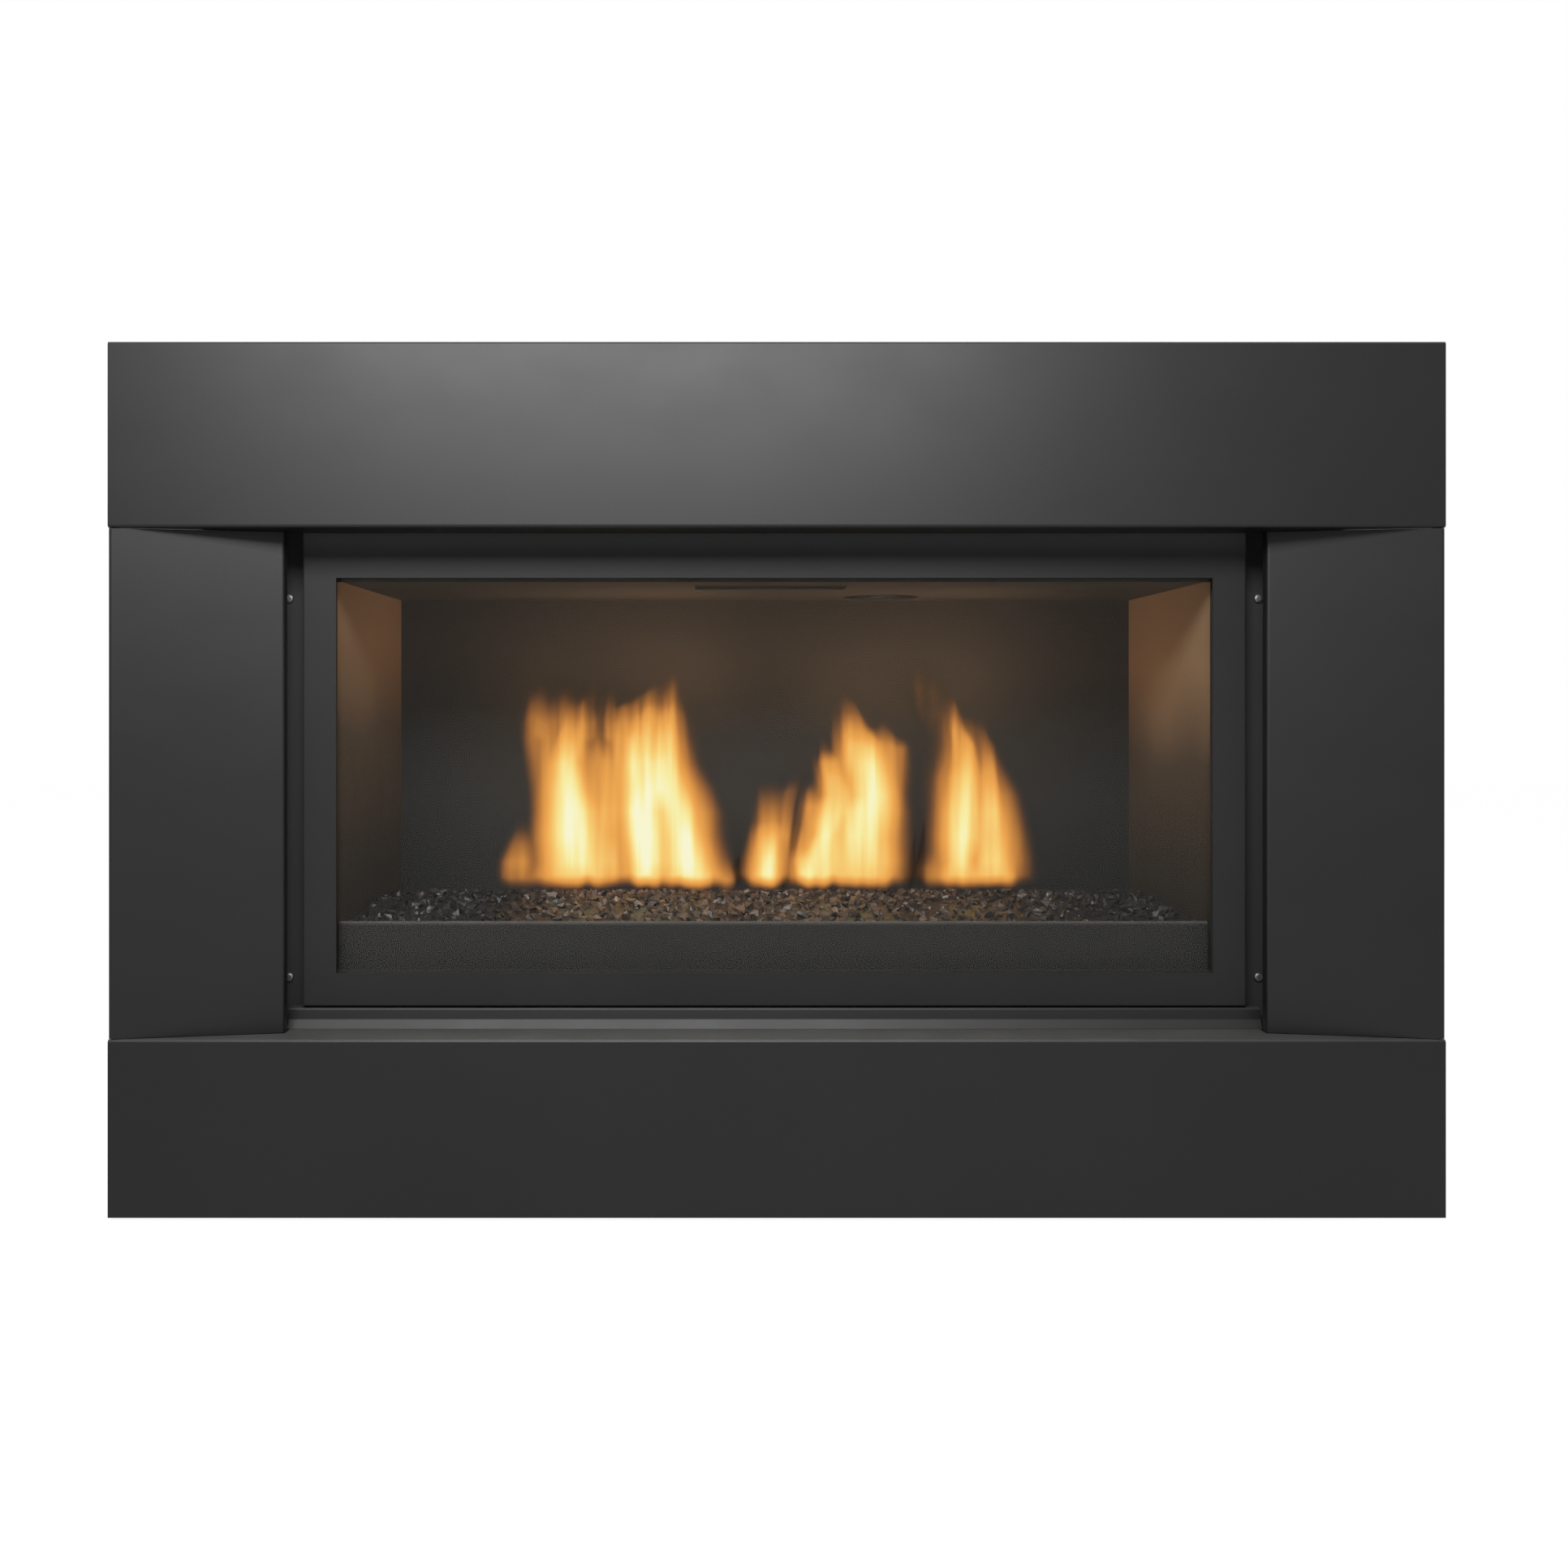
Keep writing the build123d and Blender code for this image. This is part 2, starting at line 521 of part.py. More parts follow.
def surround_screw_places():
    """(x, z) of the screws through the brackets on the right half."""
    x = HALF_CASING + CASING_T + PANEL_T + SCREW_HEAD_R + 2
    places = []
    for z in bracket_heights():
        places += [(x, z + BRACKET_L / 4), (x, z + BRACKET_L * 3 / 4)]
    z = CASING_TOP - TOP_FLANGE_H / 2
    return places + [(TOP_BRACKET_X - BRACKET_L / 4, z), (TOP_BRACKET_X + BRACKET_L / 4, z)]


def surround_screw_holes():
    """The holes that those screws need, on both sides."""
    holes = [rod_y(SCREW_R, CASING_FRONT - PANEL_T - 1, CASING_FRONT + CASING_T + 1, x, z)
             for x, z in surround_screw_places()]
    return both_sides(group(holes))


def surround_screws():
    """Identical screws that hold the brackets to the casing."""
    seat = CASING_FRONT - PANEL_T
    return group([both_sides(domed_screw(x, z, seat)) for x, z in surround_screw_places()])


def magnet_catches():
    """Magnets on small shelves that hold the lower panel shut by its ledge."""
    back = REVEAL_D + SILL_CLEAR
    top = ACCESS_TOP - PANEL_T - SILL_CLEAR
    block = span(ANCHOR_X - 120, ANCHOR_X - 96, back - 14, back - 2, top - 8, top)
    shelf = span(ANCHOR_X - 124, ANCHOR_X - 92, back - 16, back, top - 10, top - 8)
    shelf += span(ANCHOR_X - 124, ANCHOR_X - 92, back - 2, back, top - 24, top - 8)
    return group([both_sides(block), both_sides(shelf)])


# ---------------------------------------------------------------- casing
def casing_base():
    """Base sheet with an upturned front lip and four hearth anchor holes."""
    path = [(CASING_FRONT, BASE_Z + BASE_LIP_H), (CASING_FRONT, RUNNER_H), (DEPTH, RUNNER_H)]
    sheet = folded_x(path, CASING_T, PANEL_BEND, -HALF_CASING, HALF_CASING, Side.LEFT)
    for x in (-ANCHOR_X, ANCHOR_X):
        for d in (ANCHOR_FRONT_D, ANCHOR_BACK_D):
            sheet -= rod_z(ANCHOR_R, RUNNER_H - 1, BASE_Z + 1, x, d)
    return sheet


def base_runners():
    """Two folded skids that the insert stands on."""
    x0, x1 = RUNNER_X - RUNNER_W / 2, RUNNER_X + RUNNER_W / 2
    d0, d1 = CASING_FRONT + 4, DEPTH - 6
    skid = span(x0, x1, d0, d1, 0, RUNNER_H)
    skid -= span(x0 + CASING_T, x1 - CASING_T, d0 - 1, d1 + 1, CASING_T, RUNNER_H + 1)
    return both_sides(skid)


def casing_side(right):
    """Side sheet with an outward flange at the front."""
    path = [(HALF_CASING + FLANGE_W, CASING_FRONT), (CASING_INNER, CASING_FRONT),
            (CASING_INNER, DEPTH - CASING_T)]
    side = folded_z(path, CASING_T, PANEL_BEND, BASE_Z, CASING_TOP - CASING_T, Side.RIGHT)
    side -= span(CASING_INNER - 1, HALF_CASING, CASING_FRONT - 1, CASING_FRONT + PANEL_BEND + CASING_T,
                 BASE_Z - 1, BASE_Z + BASE_LIP_H)
    side -= surround_screw_holes()
    if not right:
        return mirrored(side)
    side -= rod_x(SHUTOFF_R - 1, CASING_INNER - 1, HALF_CASING + 1, LINE_D, LINE_Z)
    return side - rod_x(GLAND_R - 3, CASING_INNER - 1, HALF_CASING + 1, GLAND_D, GLAND_Z)


def casing_back():
    """Plain back sheet with ventilation slots low down."""
    sheet = span(-HALF_CASING, HALF_CASING, DEPTH - CASING_T, DEPTH, BASE_Z, CASING_TOP - CASING_T)
    pitch, slots = 30.0, 8
    for row in range(2):
        for column in range(slots):
            x = (column - (slots - 1) / 2) * pitch
            z = BLOWER_Z - 10 + row * 30
            sheet -= span(x - 10, x + 10, DEPTH - CASING_T - 1, DEPTH + 1, z - 4, z + 4)
    return sheet


def casing_top():
    """Top sheet with a downturned front flange and two vent holes."""
    path = [(CASING_FRONT, CASING_TOP - TOP_FLANGE_H), (CASING_FRONT, CASING_TOP), (DEPTH, CASING_TOP)]
    sheet = folded_x(path, CASING_T, PANEL_BEND, -HALF_CASING, HALF_CASING, Side.RIGHT)
    corner = span(CASING_INNER - 1, HALF_CASING + 1, CASING_FRONT - 1, CASING_FRONT + PANEL_BEND + CASING_T,
                  CASING_TOP - TOP_FLANGE_H - 1, CASING_TOP - CASING_T)
    sheet = sheet - corner - mirrored(corner)
    for x in (EXHAUST_X, INTAKE_X):
        sheet -= rod_z(COLLAR_R, CASING_TOP - 3, CASING_TOP + 1, x, COLLAR_D)
    return sheet - surround_screw_holes()


# ---------------------------------------------------------------- firebox
def frame_screw_places():
    """(x, z) of the screws on the right half of the firebox plate."""
    return [(CORNER_SCREW_X, CORNER_SCREW_Z0), (CORNER_SCREW_X, CORNER_SCREW_Z1),
            (CASING_INNER - 14, CORNER_SCREW_Z0 - 40), (CASING_INNER - 14, CORNER_SCREW_Z1 + 30)]


def firebox_front_frame():
    """Plate round the firebox mouth that the glass frame seals against."""
    plate = span(-CASING_INNER, CASING_INNER, FRAME_D, FRAME_BACK, FRAME_FOOT, FRAME_TOP)
    plate -= span(-HALF_MOUTH, HALF_MOUTH, FRAME_D - 1, FRAME_BACK + 1, MOUTH_Z0, MOUTH_Z1)
    play = 3.0
    slot = span(TAB_X - TAB_W / 2 - play, TAB_X + TAB_W / 2 + play, FRAME_D - 1, FRAME_BACK + 1,
                TAB_Z - play, TAB_Z + TAB_T + play)
    plate = plate - slot - mirrored(slot)
    for x, z in frame_screw_places():
        hole = rod_y(SCREW_R, FRAME_D - 1, FRAME_BACK + 1, x, z)
        plate = plate - hole - mirrored(hole)
    return plate


def front_frame_screws():
    """Domed screws in that plate; the four inner ones show beside the glass frame."""
    screws = [domed_screw(x, z, FRAME_D, CORNER_HEAD_R) for x, z in frame_screw_places()]
    return group([both_sides(screw) for screw in screws])


def firebox_floor():
    """Floor sheet with openings for the venturi, the pilot line and the lead."""
    sheet = span(-WALL_X, WALL_X, FRAME_BACK, SHELL_BACK_D - WALL_T, FLOOR_Z - WALL_T, FLOOR_Z)
    return sheet - service_holes(FLOOR_Z - WALL_T - 1, FLOOR_Z + 1)


def service_holes(z0, z1):
    """Openings that the floor and the burner tray share."""
    holes = rod_z(VENTURI_R + 1, z0, z1, 0, BURNER_D)
    holes += rod_z(PILOT_PIPE_R + 0.5, z0, z1, PILOT_X, PILOT_D)
    return holes + rod_z(LEAD_R + 0.5, z0, z1, PILOT_X - ELECTRODE_STEP, PILOT_D)


def firebox_side_walls():
    """Outer side walls of the firebox."""
    return both_sides(span(WALL_X, WALL_X + WALL_T, FRAME_BACK, SHELL_BACK_D, FLOOR_Z - WALL_T, CEILING_Z))


def firebox_back_wall():
    """Outer back wall, with the slot that lets combustion air in."""
    d0 = SHELL_BACK_D - WALL_T
    wall = span(-WALL_X, WALL_X, d0, SHELL_BACK_D, FLOOR_Z - WALL_T, CEILING_Z)
    return wall - air_slot(d0 - 1, SHELL_BACK_D + 1)


def air_slot(d0, d1):
    """Space of the combustion-air slot between two depths."""
    half = DUCT_HALF - 12
    return span(INTAKE_X - half, INTAKE_X + half, d0, d1, DUCT_FOOT + 6, DUCT_FOOT + 22)


def firebox_top():
    """Top plate with the exhaust hole, the relief opening and the flap's ears."""
    plate = span(-WALL_X - WALL_T, WALL_X + WALL_T, FRAME_BACK, SHELL_BACK_D, CEILING_Z, CEILING_Z + WALL_T)
    plate -= rod_z(COLLAR_R - COLLAR_WALL, CEILING_Z - 1, CEILING_Z + WALL_T + 1, EXHAUST_X, COLLAR_D)
    half = FLAP_W / 2 - FLAP_OVERLAP
    plate -= span(-half, half, FLAP_D0 + FLAP_OVERLAP, FLAP_D1 - FLAP_OVERLAP,
                  CEILING_Z - 1, CEILING_Z + WALL_T + 1)
    z, d = flap_axis()
    x0 = FLAP_W / 2 + SIDE_PLAY
    ear = rod_x(5, x0, x0 + EAR_T, d, z) + span(x0, x0 + EAR_T, d - 5, d + 5, CEILING_Z + WALL_T, z)
    ear -= rod_x(FLAP_PIN_R + RUN, x0 - 1, x0 + EAR_T + 1, d, z)
    return plate + ear + mirrored(ear)


def flap_axis():
    """(z, depth) of the relief flap's hinge."""
    return CEILING_Z + WALL_T + FACE_GAP + 4.0, FLAP_D1 + 4.0


def relief_flap():
    """Pressure-relief flap that lies over its opening and lifts at the front."""
    z, d = flap_axis()
    low = CEILING_Z + WALL_T + FACE_GAP
    half = FLAP_W / 2
    plate = span(-half, half, FLAP_D0, d, low, low + FLAP_T)
    knuckle = rod_x(4, -half, half, d, z)
    pin = rod_x(FLAP_PIN_R, -half - SIDE_PLAY - EAR_T - 1, half + SIDE_PLAY + EAR_T + 1, d, z)
    return plate + knuckle + pin


def side_liners():
    """Side liners, seen through the glass, which close in slightly towards the back."""
    plan = [(LINER_X, FRAME_BACK), (LINER_BACK_X, BACK_D), (LINER_BACK_X + LINER_T, BACK_D),
            (WALL_X, FRAME_BACK)]
    return both_sides(profile_z(plan, FLOOR_Z, CEILING_Z))


def back_liner():
    """Back liner, with the air slot behind the burner tray."""
    liner = span(-WALL_X, WALL_X, BACK_D, BACK_D + LINER_T, FLOOR_Z, CEILING_Z)
    return liner - air_slot(BACK_D - 1, BACK_D + LINER_T + 1)


def sill():
    """Folded sill that rises from the lower panel's ledge to just below the glass frame."""
    front = REVEAL_D + SILL_CLEAR
    bend = front + SILL_LEAN
    top = SILL_Z + SILL_STEP
    path = [(front, FRAME_FOOT), (front, ACCESS_TOP), (bend, SILL_Z), (bend + SILL_STEP_LEAN, top),
            (FRAME_D, top), (FRAME_D, FRAME_FOOT + 6)]
    return folded_x(path, PANEL_T, PANEL_BEND, -SILL_HALF, SILL_HALF, Side.RIGHT)


# ---------------------------------------------------------------- glass frame
def glass_door_frame():
    """Channel frame with two top hooks and two tongues at the bottom."""
    frame = span(-DOOR_HALF, DOOR_HALF, DOOR_D, DOOR_D + DOOR_RETURN, DOOR_Z0, DOOR_Z1)
    edges = frame.edges().filter_by(Axis.X) + frame.edges().filter_by(Axis.Z)
    front_edges = [edge for edge in edges if edge.center().Y < FACE_Y + DOOR_D + 0.1]
    frame = fillet(front_edges, 1.5)
    frame -= span(-DOOR_HALF + DOOR_T, DOOR_HALF - DOOR_T, DOOR_D + DOOR_T, DOOR_D + DOOR_RETURN + 1,
                  DOOR_Z0 + DOOR_T, DOOR_Z1 - DOOR_T)
    lip_out = DOOR_INNER + DOOR_T
    z0, z1 = DOOR_Z0 + RAIL_W, DOOR_Z1 - TOP_RAIL_W
    lip = span(-lip_out, lip_out, DOOR_D, DOOR_D + DOOR_LIP, z0 - DOOR_T, z1 + DOOR_T)
    frame += lip
    frame -= span(-DOOR_INNER, DOOR_INNER, DOOR_D - 1, DOOR_D + DOOR_RETURN + 1, z0, z1)
    x0, x1 = TAB_X - TAB_W / 2, TAB_X + TAB_W / 2
    back = DOOR_D + DOOR_RETURN
    tongue = span(x0, x1, back - TAB_T, TAB_D1, TAB_Z, TAB_Z + TAB_T)
    tongue += span(x0, x1, back - TAB_T, back, DOOR_Z0, TAB_Z + TAB_T)
    hook = door_hook()
    return frame + tongue + mirrored(tongue) + hook + mirrored(hook)


def door_hook():
    """Right-hand hook: an open ring over its pin, and a stem down to the frame."""
    x0, x1 = DOOR_HOOK_X - HOOK_T / 2, DOOR_HOOK_X + HOOK_T / 2
    ring = rod_x(HOOK_R, x0, x1, DOOR_PIN_D, DOOR_PIN_Z)
    ring += span(x0, x1, DOOR_PIN_D - HOOK_R, DOOR_PIN_D, DOOR_Z1 - DOOR_T, DOOR_PIN_Z)
    ring -= rod_x(PIN_R + RUN, x0 - 1, x1 + 1, DOOR_PIN_D, DOOR_PIN_Z)
    mouth = span(x0 - 1, x1 + 1, DOOR_PIN_D, DOOR_PIN_D + HOOK_R + 1, DOOR_Z1, DOOR_PIN_Z)
    return ring - mouth


def door_pin_brackets():
    """Plates on the firebox plate that carry the two hook pins."""
    x0 = DOOR_HOOK_X + HOOK_T / 2 + SIDE_PLAY
    x1 = x0 + EAR_T
    low = DOOR_Z1 + PANEL_GAP
    nose = DOOR_PIN_Z - low
    plate = rod_x(nose, x0, x1, DOOR_PIN_D, DOOR_PIN_Z)
    plate += span(x0, x1, DOOR_PIN_D, FRAME_D, low, DOOR_PIN_Z + nose)
    plate += span(x0, x1 + 12, FRAME_D - EAR_T, FRAME_D, low, FRAME_TOP)
    return both_sides(plate - rod_x(PIN_R, x0 - 1, x1 + 1, DOOR_PIN_D, DOOR_PIN_Z))


def glass_pane():
    """Ceramic glass, held in the frame."""
    half = DOOR_HALF - GLASS_EDGE
    d0 = DOOR_D + DOOR_T + TAPE_T
    pane = span(-half, half, d0, d0 + GLASS_T, DOOR_Z0 + GLASS_EDGE, DOOR_Z1 - GLASS_EDGE)
    return chamfer(pane.edges().filter_by(Axis.Y, reverse=True), 0.6)


def ring(half, z0, z1, width, d0, d1):
    """Flat rectangular ring."""
    outer = span(-half, half, d0, d1, z0, z1)
    return outer - span(-half + width, half - width, d0 - 1, d1 + 1, z0 + width, z1 - width)


def glass_seals():
    """Tape between frame and glass, and the rope seal behind the glass."""
    half = DOOR_HALF - GLASS_EDGE
    z0, z1 = DOOR_Z0 + GLASS_EDGE, DOOR_Z1 - GLASS_EDGE
    glass_d0 = DOOR_D + DOOR_T + TAPE_T
    tape = ring(half, z0, z1, SEAL_W, DOOR_D + DOOR_T, glass_d0)
    tape -= span(-DOOR_INNER - DOOR_T, DOOR_INNER + DOOR_T, DOOR_D, glass_d0 + 1,
                 DOOR_Z0 + RAIL_W - DOOR_T, DOOR_Z1 - TOP_RAIL_W + DOOR_T)
    rope = ring(half - 1, z0 + 1, z1 - 1, SEAL_W, glass_d0 + GLASS_T, FRAME_D - SEAL_GAP)
    return group([tape, rope])


def pane_clips():
    """Bent clips that keep the glass in its frame."""
    inner = DOOR_HALF - DOOR_T
    glass_back = DOOR_D + DOOR_T + TAPE_T + GLASS_T
    side = span(inner - GLASS_EDGE + DOOR_T, inner, glass_back, glass_back + 1.2, -9, 9)
    side += span(inner - 1.2, inner, glass_back - 6, glass_back + 1.2, -9, 9)
    middle = (DOOR_Z0 + DOOR_Z1) / 2
    pieces = [both_sides(Pos(0, 0, middle + step) * side) for step in (-PANE_CLIP_STEP, 0, PANE_CLIP_STEP)]
    top_z = DOOR_Z1 - DOOR_T
    for x in PANE_CLIP_X:
        clip = span(x - 9, x + 9, glass_back, glass_back + 1.2, top_z - GLASS_EDGE + DOOR_T, top_z)
        clip += span(x - 9, x + 9, glass_back - 6, glass_back + 1.2, top_z - 1.2, top_z)
        pieces.append(both_sides(clip))
    return group(pieces)


def door_catch_clips():
    """Spring clips behind the firebox plate that grip the frame's tongues."""
    x0, x1 = TAB_X - TAB_W / 2 - 2, TAB_X + TAB_W / 2 + 2
    leaf, room = 1.0, 1.4
    low = TAB_Z - room - leaf
    high = TAB_Z + TAB_T + room
    end = TAB_D1 + 5
    clip = span(x0, x1, FRAME_BACK, end, low, low + leaf)
    clip += span(x0, x1, FRAME_BACK, end, high, high + leaf)
    clip += span(x0, x1, end - leaf, end, low, high + leaf)
    clip += span(x0, x1, FRAME_BACK, FRAME_BACK + leaf, high, FLOOR_Z - WALL_T)
    clip += span(x0, x1, FRAME_BACK, FRAME_BACK + leaf, low - CATCH_FOOT, low + leaf)
    grip = room - FACE_GAP
    clip += span(x0 + 4, x1 - 4, end - 16, end - 12, high - grip, high)
    return both_sides(clip)


# ---------------------------------------------------------------- burner


def liner_face_x(depth):
    """Distance from the middle to the face of a side liner."""
    return LINER_X - LINER_TAPER * (depth - FRAME_BACK) / (BACK_D - FRAME_BACK)


def between_liners(d0, d1, inset):
    """Plan between two depths whose ends keep the same distance from the side liners."""
    front, back = liner_face_x(d0) - inset, liner_face_x(d1) - inset
    return [(-front, d0), (front, d0), (back, d1), (-back, d1)]


def burner_tray():
    """Tray that holds the media, with a rolled lip along its front edge."""
    tray = profile_z(between_liners(TRAY_D0, TRAY_D1, TRAY_END_GAP), FLOOR_Z, TRAY_TOP)
    inner = between_liners(TRAY_D0 + TRAY_T, TRAY_D1 - TRAY_T, TRAY_END_GAP + TRAY_T)
    tray -= profile_z(inner, TRAY_FLOOR_Z, TRAY_TOP + 1)
    tray -= profile_z(inner, FLOOR_Z - 1, TRAY_FLOOR_Z - TRAY_T)
    lip_half = liner_face_x(TRAY_D0 + 2 * LIP_R) - TRAY_END_GAP
    tray += rod_x(LIP_R, -lip_half, lip_half, TRAY_D0 + LIP_R, TRAY_TOP)
    return tray - service_holes(TRAY_FLOOR_Z - TRAY_T - 1, TRAY_FLOOR_Z + 1)


def burner_tube():
    """Closed tube with a row of ports on top and a spout to the venturi below."""
    z = TRAY_FLOOR_Z + FACE_GAP + BURNER_R
    inner = BURNER_R - BURNER_WALL
    body = rod_x(BURNER_R, -BURNER_HALF, BURNER_HALF, BURNER_D, z)
    body += rod_z(VENTURI_R, SPOUT_Z, z, 0, BURNER_D)
    body -= rod_x(inner, -BURNER_HALF + BURNER_WALL, BURNER_HALF - BURNER_WALL, BURNER_D, z)
    body -= rod_z(VENTURI_R - VENTURI_WALL, SPOUT_Z - 1, z, 0, BURNER_D)
    ports = int((BURNER_HALF - 2 * PORT_PITCH) / PORT_PITCH)
    for step in range(-ports, ports + 1):
        body -= rod_z(PORT_R, z, z + BURNER_R + 1, step * PORT_PITCH, BURNER_D)
    return body


def media_bed():
    """Bed of crushed glass as one closed form, slightly heaped along its middle."""
    d0, d1 = TRAY_D0 + 2 * LIP_R, TRAY_D1 - TRAY_T
    low = TRAY_FLOOR_Z
    shoulder = TRAY_TOP + (MEDIA_FRONT_RISE + MEDIA_RISE) / 2
    crest = TRAY_TOP + MEDIA_RISE
    section = [(d0, low), (d0, TRAY_TOP + MEDIA_FRONT_RISE), (d0 + MEDIA_SHOULDER, shoulder),
               (BURNER_D - MEDIA_CREST_FRONT, crest), (BURNER_D + MEDIA_CREST_BACK, crest),
               (d1, TRAY_TOP + MEDIA_BACK_RISE), (d1, low)]
    bed = profile_x(section, -LINER_X, LINER_X)
    bed &= profile_z(between_liners(d0, d1, TRAY_END_GAP + TRAY_T), low - 1, crest + 1)
    z = TRAY_FLOOR_Z + FACE_GAP + BURNER_R
    bed -= rod_x(BURNER_R, -BURNER_HALF, BURNER_HALF, BURNER_D, z)
    bed -= rod_z(VENTURI_R, low - 1, z, 0, BURNER_D)
    x0, x1 = pilot_plate_x()
    reach = PILOT_PLATE_D + 2
    pocket = span(x0 - 1, x1 + 1, PILOT_D - reach, PILOT_D + reach, low - 1, crest + 1)
    return bed - pocket


def pilot_plate_x():
    """(left, right) end of the pilot's plate."""
    return PILOT_X - ELECTRODE_STEP - PILOT_PLATE_END, PILOT_X + SENSOR_STEP + SENSOR_R + PILOT_PLATE_EDGE


def pilot_burner():
    """Pilot plate, hood, flame sensor and spark electrode."""
    low = TRAY_FLOOR_Z
    seat = low + PILOT_PLATE_T
    x0, x1 = pilot_plate_x()
    plate = span(x0, x1, PILOT_D - PILOT_PLATE_D, PILOT_D + PILOT_PLATE_D, low, seat)
    hood = rod_z(HOOD_R, seat, PILOT_TOP, PILOT_X, PILOT_D)
    hood -= rod_z(HOOD_R - HOOD_WALL, low + PILOT_H / 2 - 4, PILOT_TOP - HOOD_WALL, PILOT_X, PILOT_D)
    hood -= span(PILOT_X - 3, PILOT_X + 3, PILOT_D - HOOD_R - 2, PILOT_D, PILOT_TOP - 10, PILOT_TOP - 6)
    sensor = rod_z(SENSOR_R, seat, PILOT_TOP, PILOT_X + SENSOR_STEP, PILOT_D)
    middle = low + PILOT_H / 2
    electrode = rod_z(INSULATOR_R, seat, middle, PILOT_X - ELECTRODE_STEP, PILOT_D)
    electrode += rod_z(ELECTRODE_R, middle, PILOT_TOP, PILOT_X - ELECTRODE_STEP, PILOT_D)
    holes = rod_z(PILOT_PIPE_R - 1, low - 1, seat + 4, PILOT_X, PILOT_D)
    return plate + hood + sensor + electrode - holes


def venturi():
    """Air mixer: a pipe with an open mouth that bends up into the burner spout."""
    route = [(VENTURI_MOUTH_X, BURNER_D, VENTURI_Z), (0, BURNER_D, VENTURI_Z), (0, BURNER_D, SPOUT_Z)]
    pipe = tube(route, VENTURI_R, VENTURI_BEND, VENTURI_R - VENTURI_WALL)
    bead_x = SHUTTER_X0 - FACE_GAP
    bead = rod_x(VENTURI_R + 2, bead_x - 2, bead_x, BURNER_D, VENTURI_Z)
    bead -= rod_x(VENTURI_R - VENTURI_WALL, bead_x - 3, bead_x + 1, BURNER_D, VENTURI_Z)
    return pipe + bead - air_windows(VENTURI_R + 0.5)


def air_windows(reach):
    """Two openings, above and below, that the air shutter covers."""
    return span(SHUTTER_X0 + 3, SHUTTER_X1 - 3, BURNER_D - 5, BURNER_D + 5,
                VENTURI_Z - reach, VENTURI_Z + reach)


def air_shutter():
    """Sleeve that turns on the venturi, with matching windows and a lever."""
    outer = VENTURI_R + RUN + SHUTTER_WALL
    sleeve = rod_x(outer, SHUTTER_X0, SHUTTER_X1, BURNER_D, VENTURI_Z)
    sleeve += span(SHUTTER_X0 + 5, SHUTTER_X0 + 8, BURNER_D - outer - SHUTTER_LEVER, BURNER_D,
                   VENTURI_Z - 3, VENTURI_Z + 3)
    sleeve -= rod_x(VENTURI_R + RUN, SHUTTER_X0 - 1, SHUTTER_X1 + 1, BURNER_D, VENTURI_Z)
    return sleeve - air_windows(outer + 1)


def orifice_fitting():
    """Brass holder that closes the venturi mouth and carries the gas jet."""
    bore = VENTURI_R - VENTURI_WALL
    neck = VENTURI_MOUTH_X + ORIFICE_HEX
    end = VENTURI_MOUTH_X + ORIFICE_L
    fitting = rod_x(bore, SHUTTER_X1, VENTURI_MOUTH_X, BURNER_D, VENTURI_Z)
    plane = Plane.YZ.offset(VENTURI_MOUTH_X) * Pos(FACE_Y + BURNER_D, VENTURI_Z)
    fitting += extrude(plane * RegularPolygon(VENTURI_R + 2, 6), ORIFICE_HEX)
    fitting += rod_x(BURNER_PIPE_R + 2, neck, end, BURNER_D, VENTURI_Z)
    fitting -= rod_x(JET_R, SHUTTER_X1 - 1, neck + 2, BURNER_D, VENTURI_Z)
    return fitting - rod_x(BURNER_PIPE_R - 1.5, neck + 2, end + 1, BURNER_D, VENTURI_Z)


# ---------------------------------------------------------------- gas controls
def control_bracket():
    """Folded plate that carries the valve, the igniter and the blower switch."""
    path = [(BRACKET_D, BRACKET_TOP), (BRACKET_D, BASE_Z), (BRACKET_D + 40, BASE_Z)]
    plate = folded_x(path, CONTROL_T, PANEL_BEND, BRACKET_X0, BRACKET_X1, Side.LEFT)
    d0, d1 = BRACKET_D - 1, BRACKET_D + CONTROL_T + 1
    for x in KNOB_X:
        plate -= rod_y(STEM_R + 2, d0, d1, x, KNOB_Z)
    plate -= rod_y(IGNITER_R, d0, d1, IGNITER_X, IGNITER_Z)
    half_w, half_h = SWITCH_W / 2, SWITCH_H / 2
    return plate - span(SWITCH_X - half_w, SWITCH_X + half_w, d0, d1, SWITCH_Z - half_h, SWITCH_Z + half_h)


def gas_valve():
    """Valve block with its inlet, outlet and pilot ports."""
    body = span(VALVE_X0, VALVE_X1, VALVE_D0, VALVE_D1, VALVE_Z0, VALVE_Z1)
    body = fillet(body.edges().filter_by(Axis.Y), 6)
    body += rod_x(PIPE_R + 4, VALVE_X1, VALVE_X1 + 12, LINE_D, LINE_Z)
    body += rod_y(BURNER_PIPE_R + 3, VALVE_D1, VALVE_D1 + 12, VALVE_X0 + 20, VALVE_Z1 - 20)
    body += rod_z(PILOT_PIPE_R + 3, VALVE_Z1, VALVE_Z1 + 8, VALVE_X1 - 40, VALVE_D0 + 38)
    for x in KNOB_X:
        body -= rod_y(STEM_R + RUN, VALVE_D0 - 1, VALVE_D0 + STEM_DEPTH + 1, x, KNOB_Z)
    return body


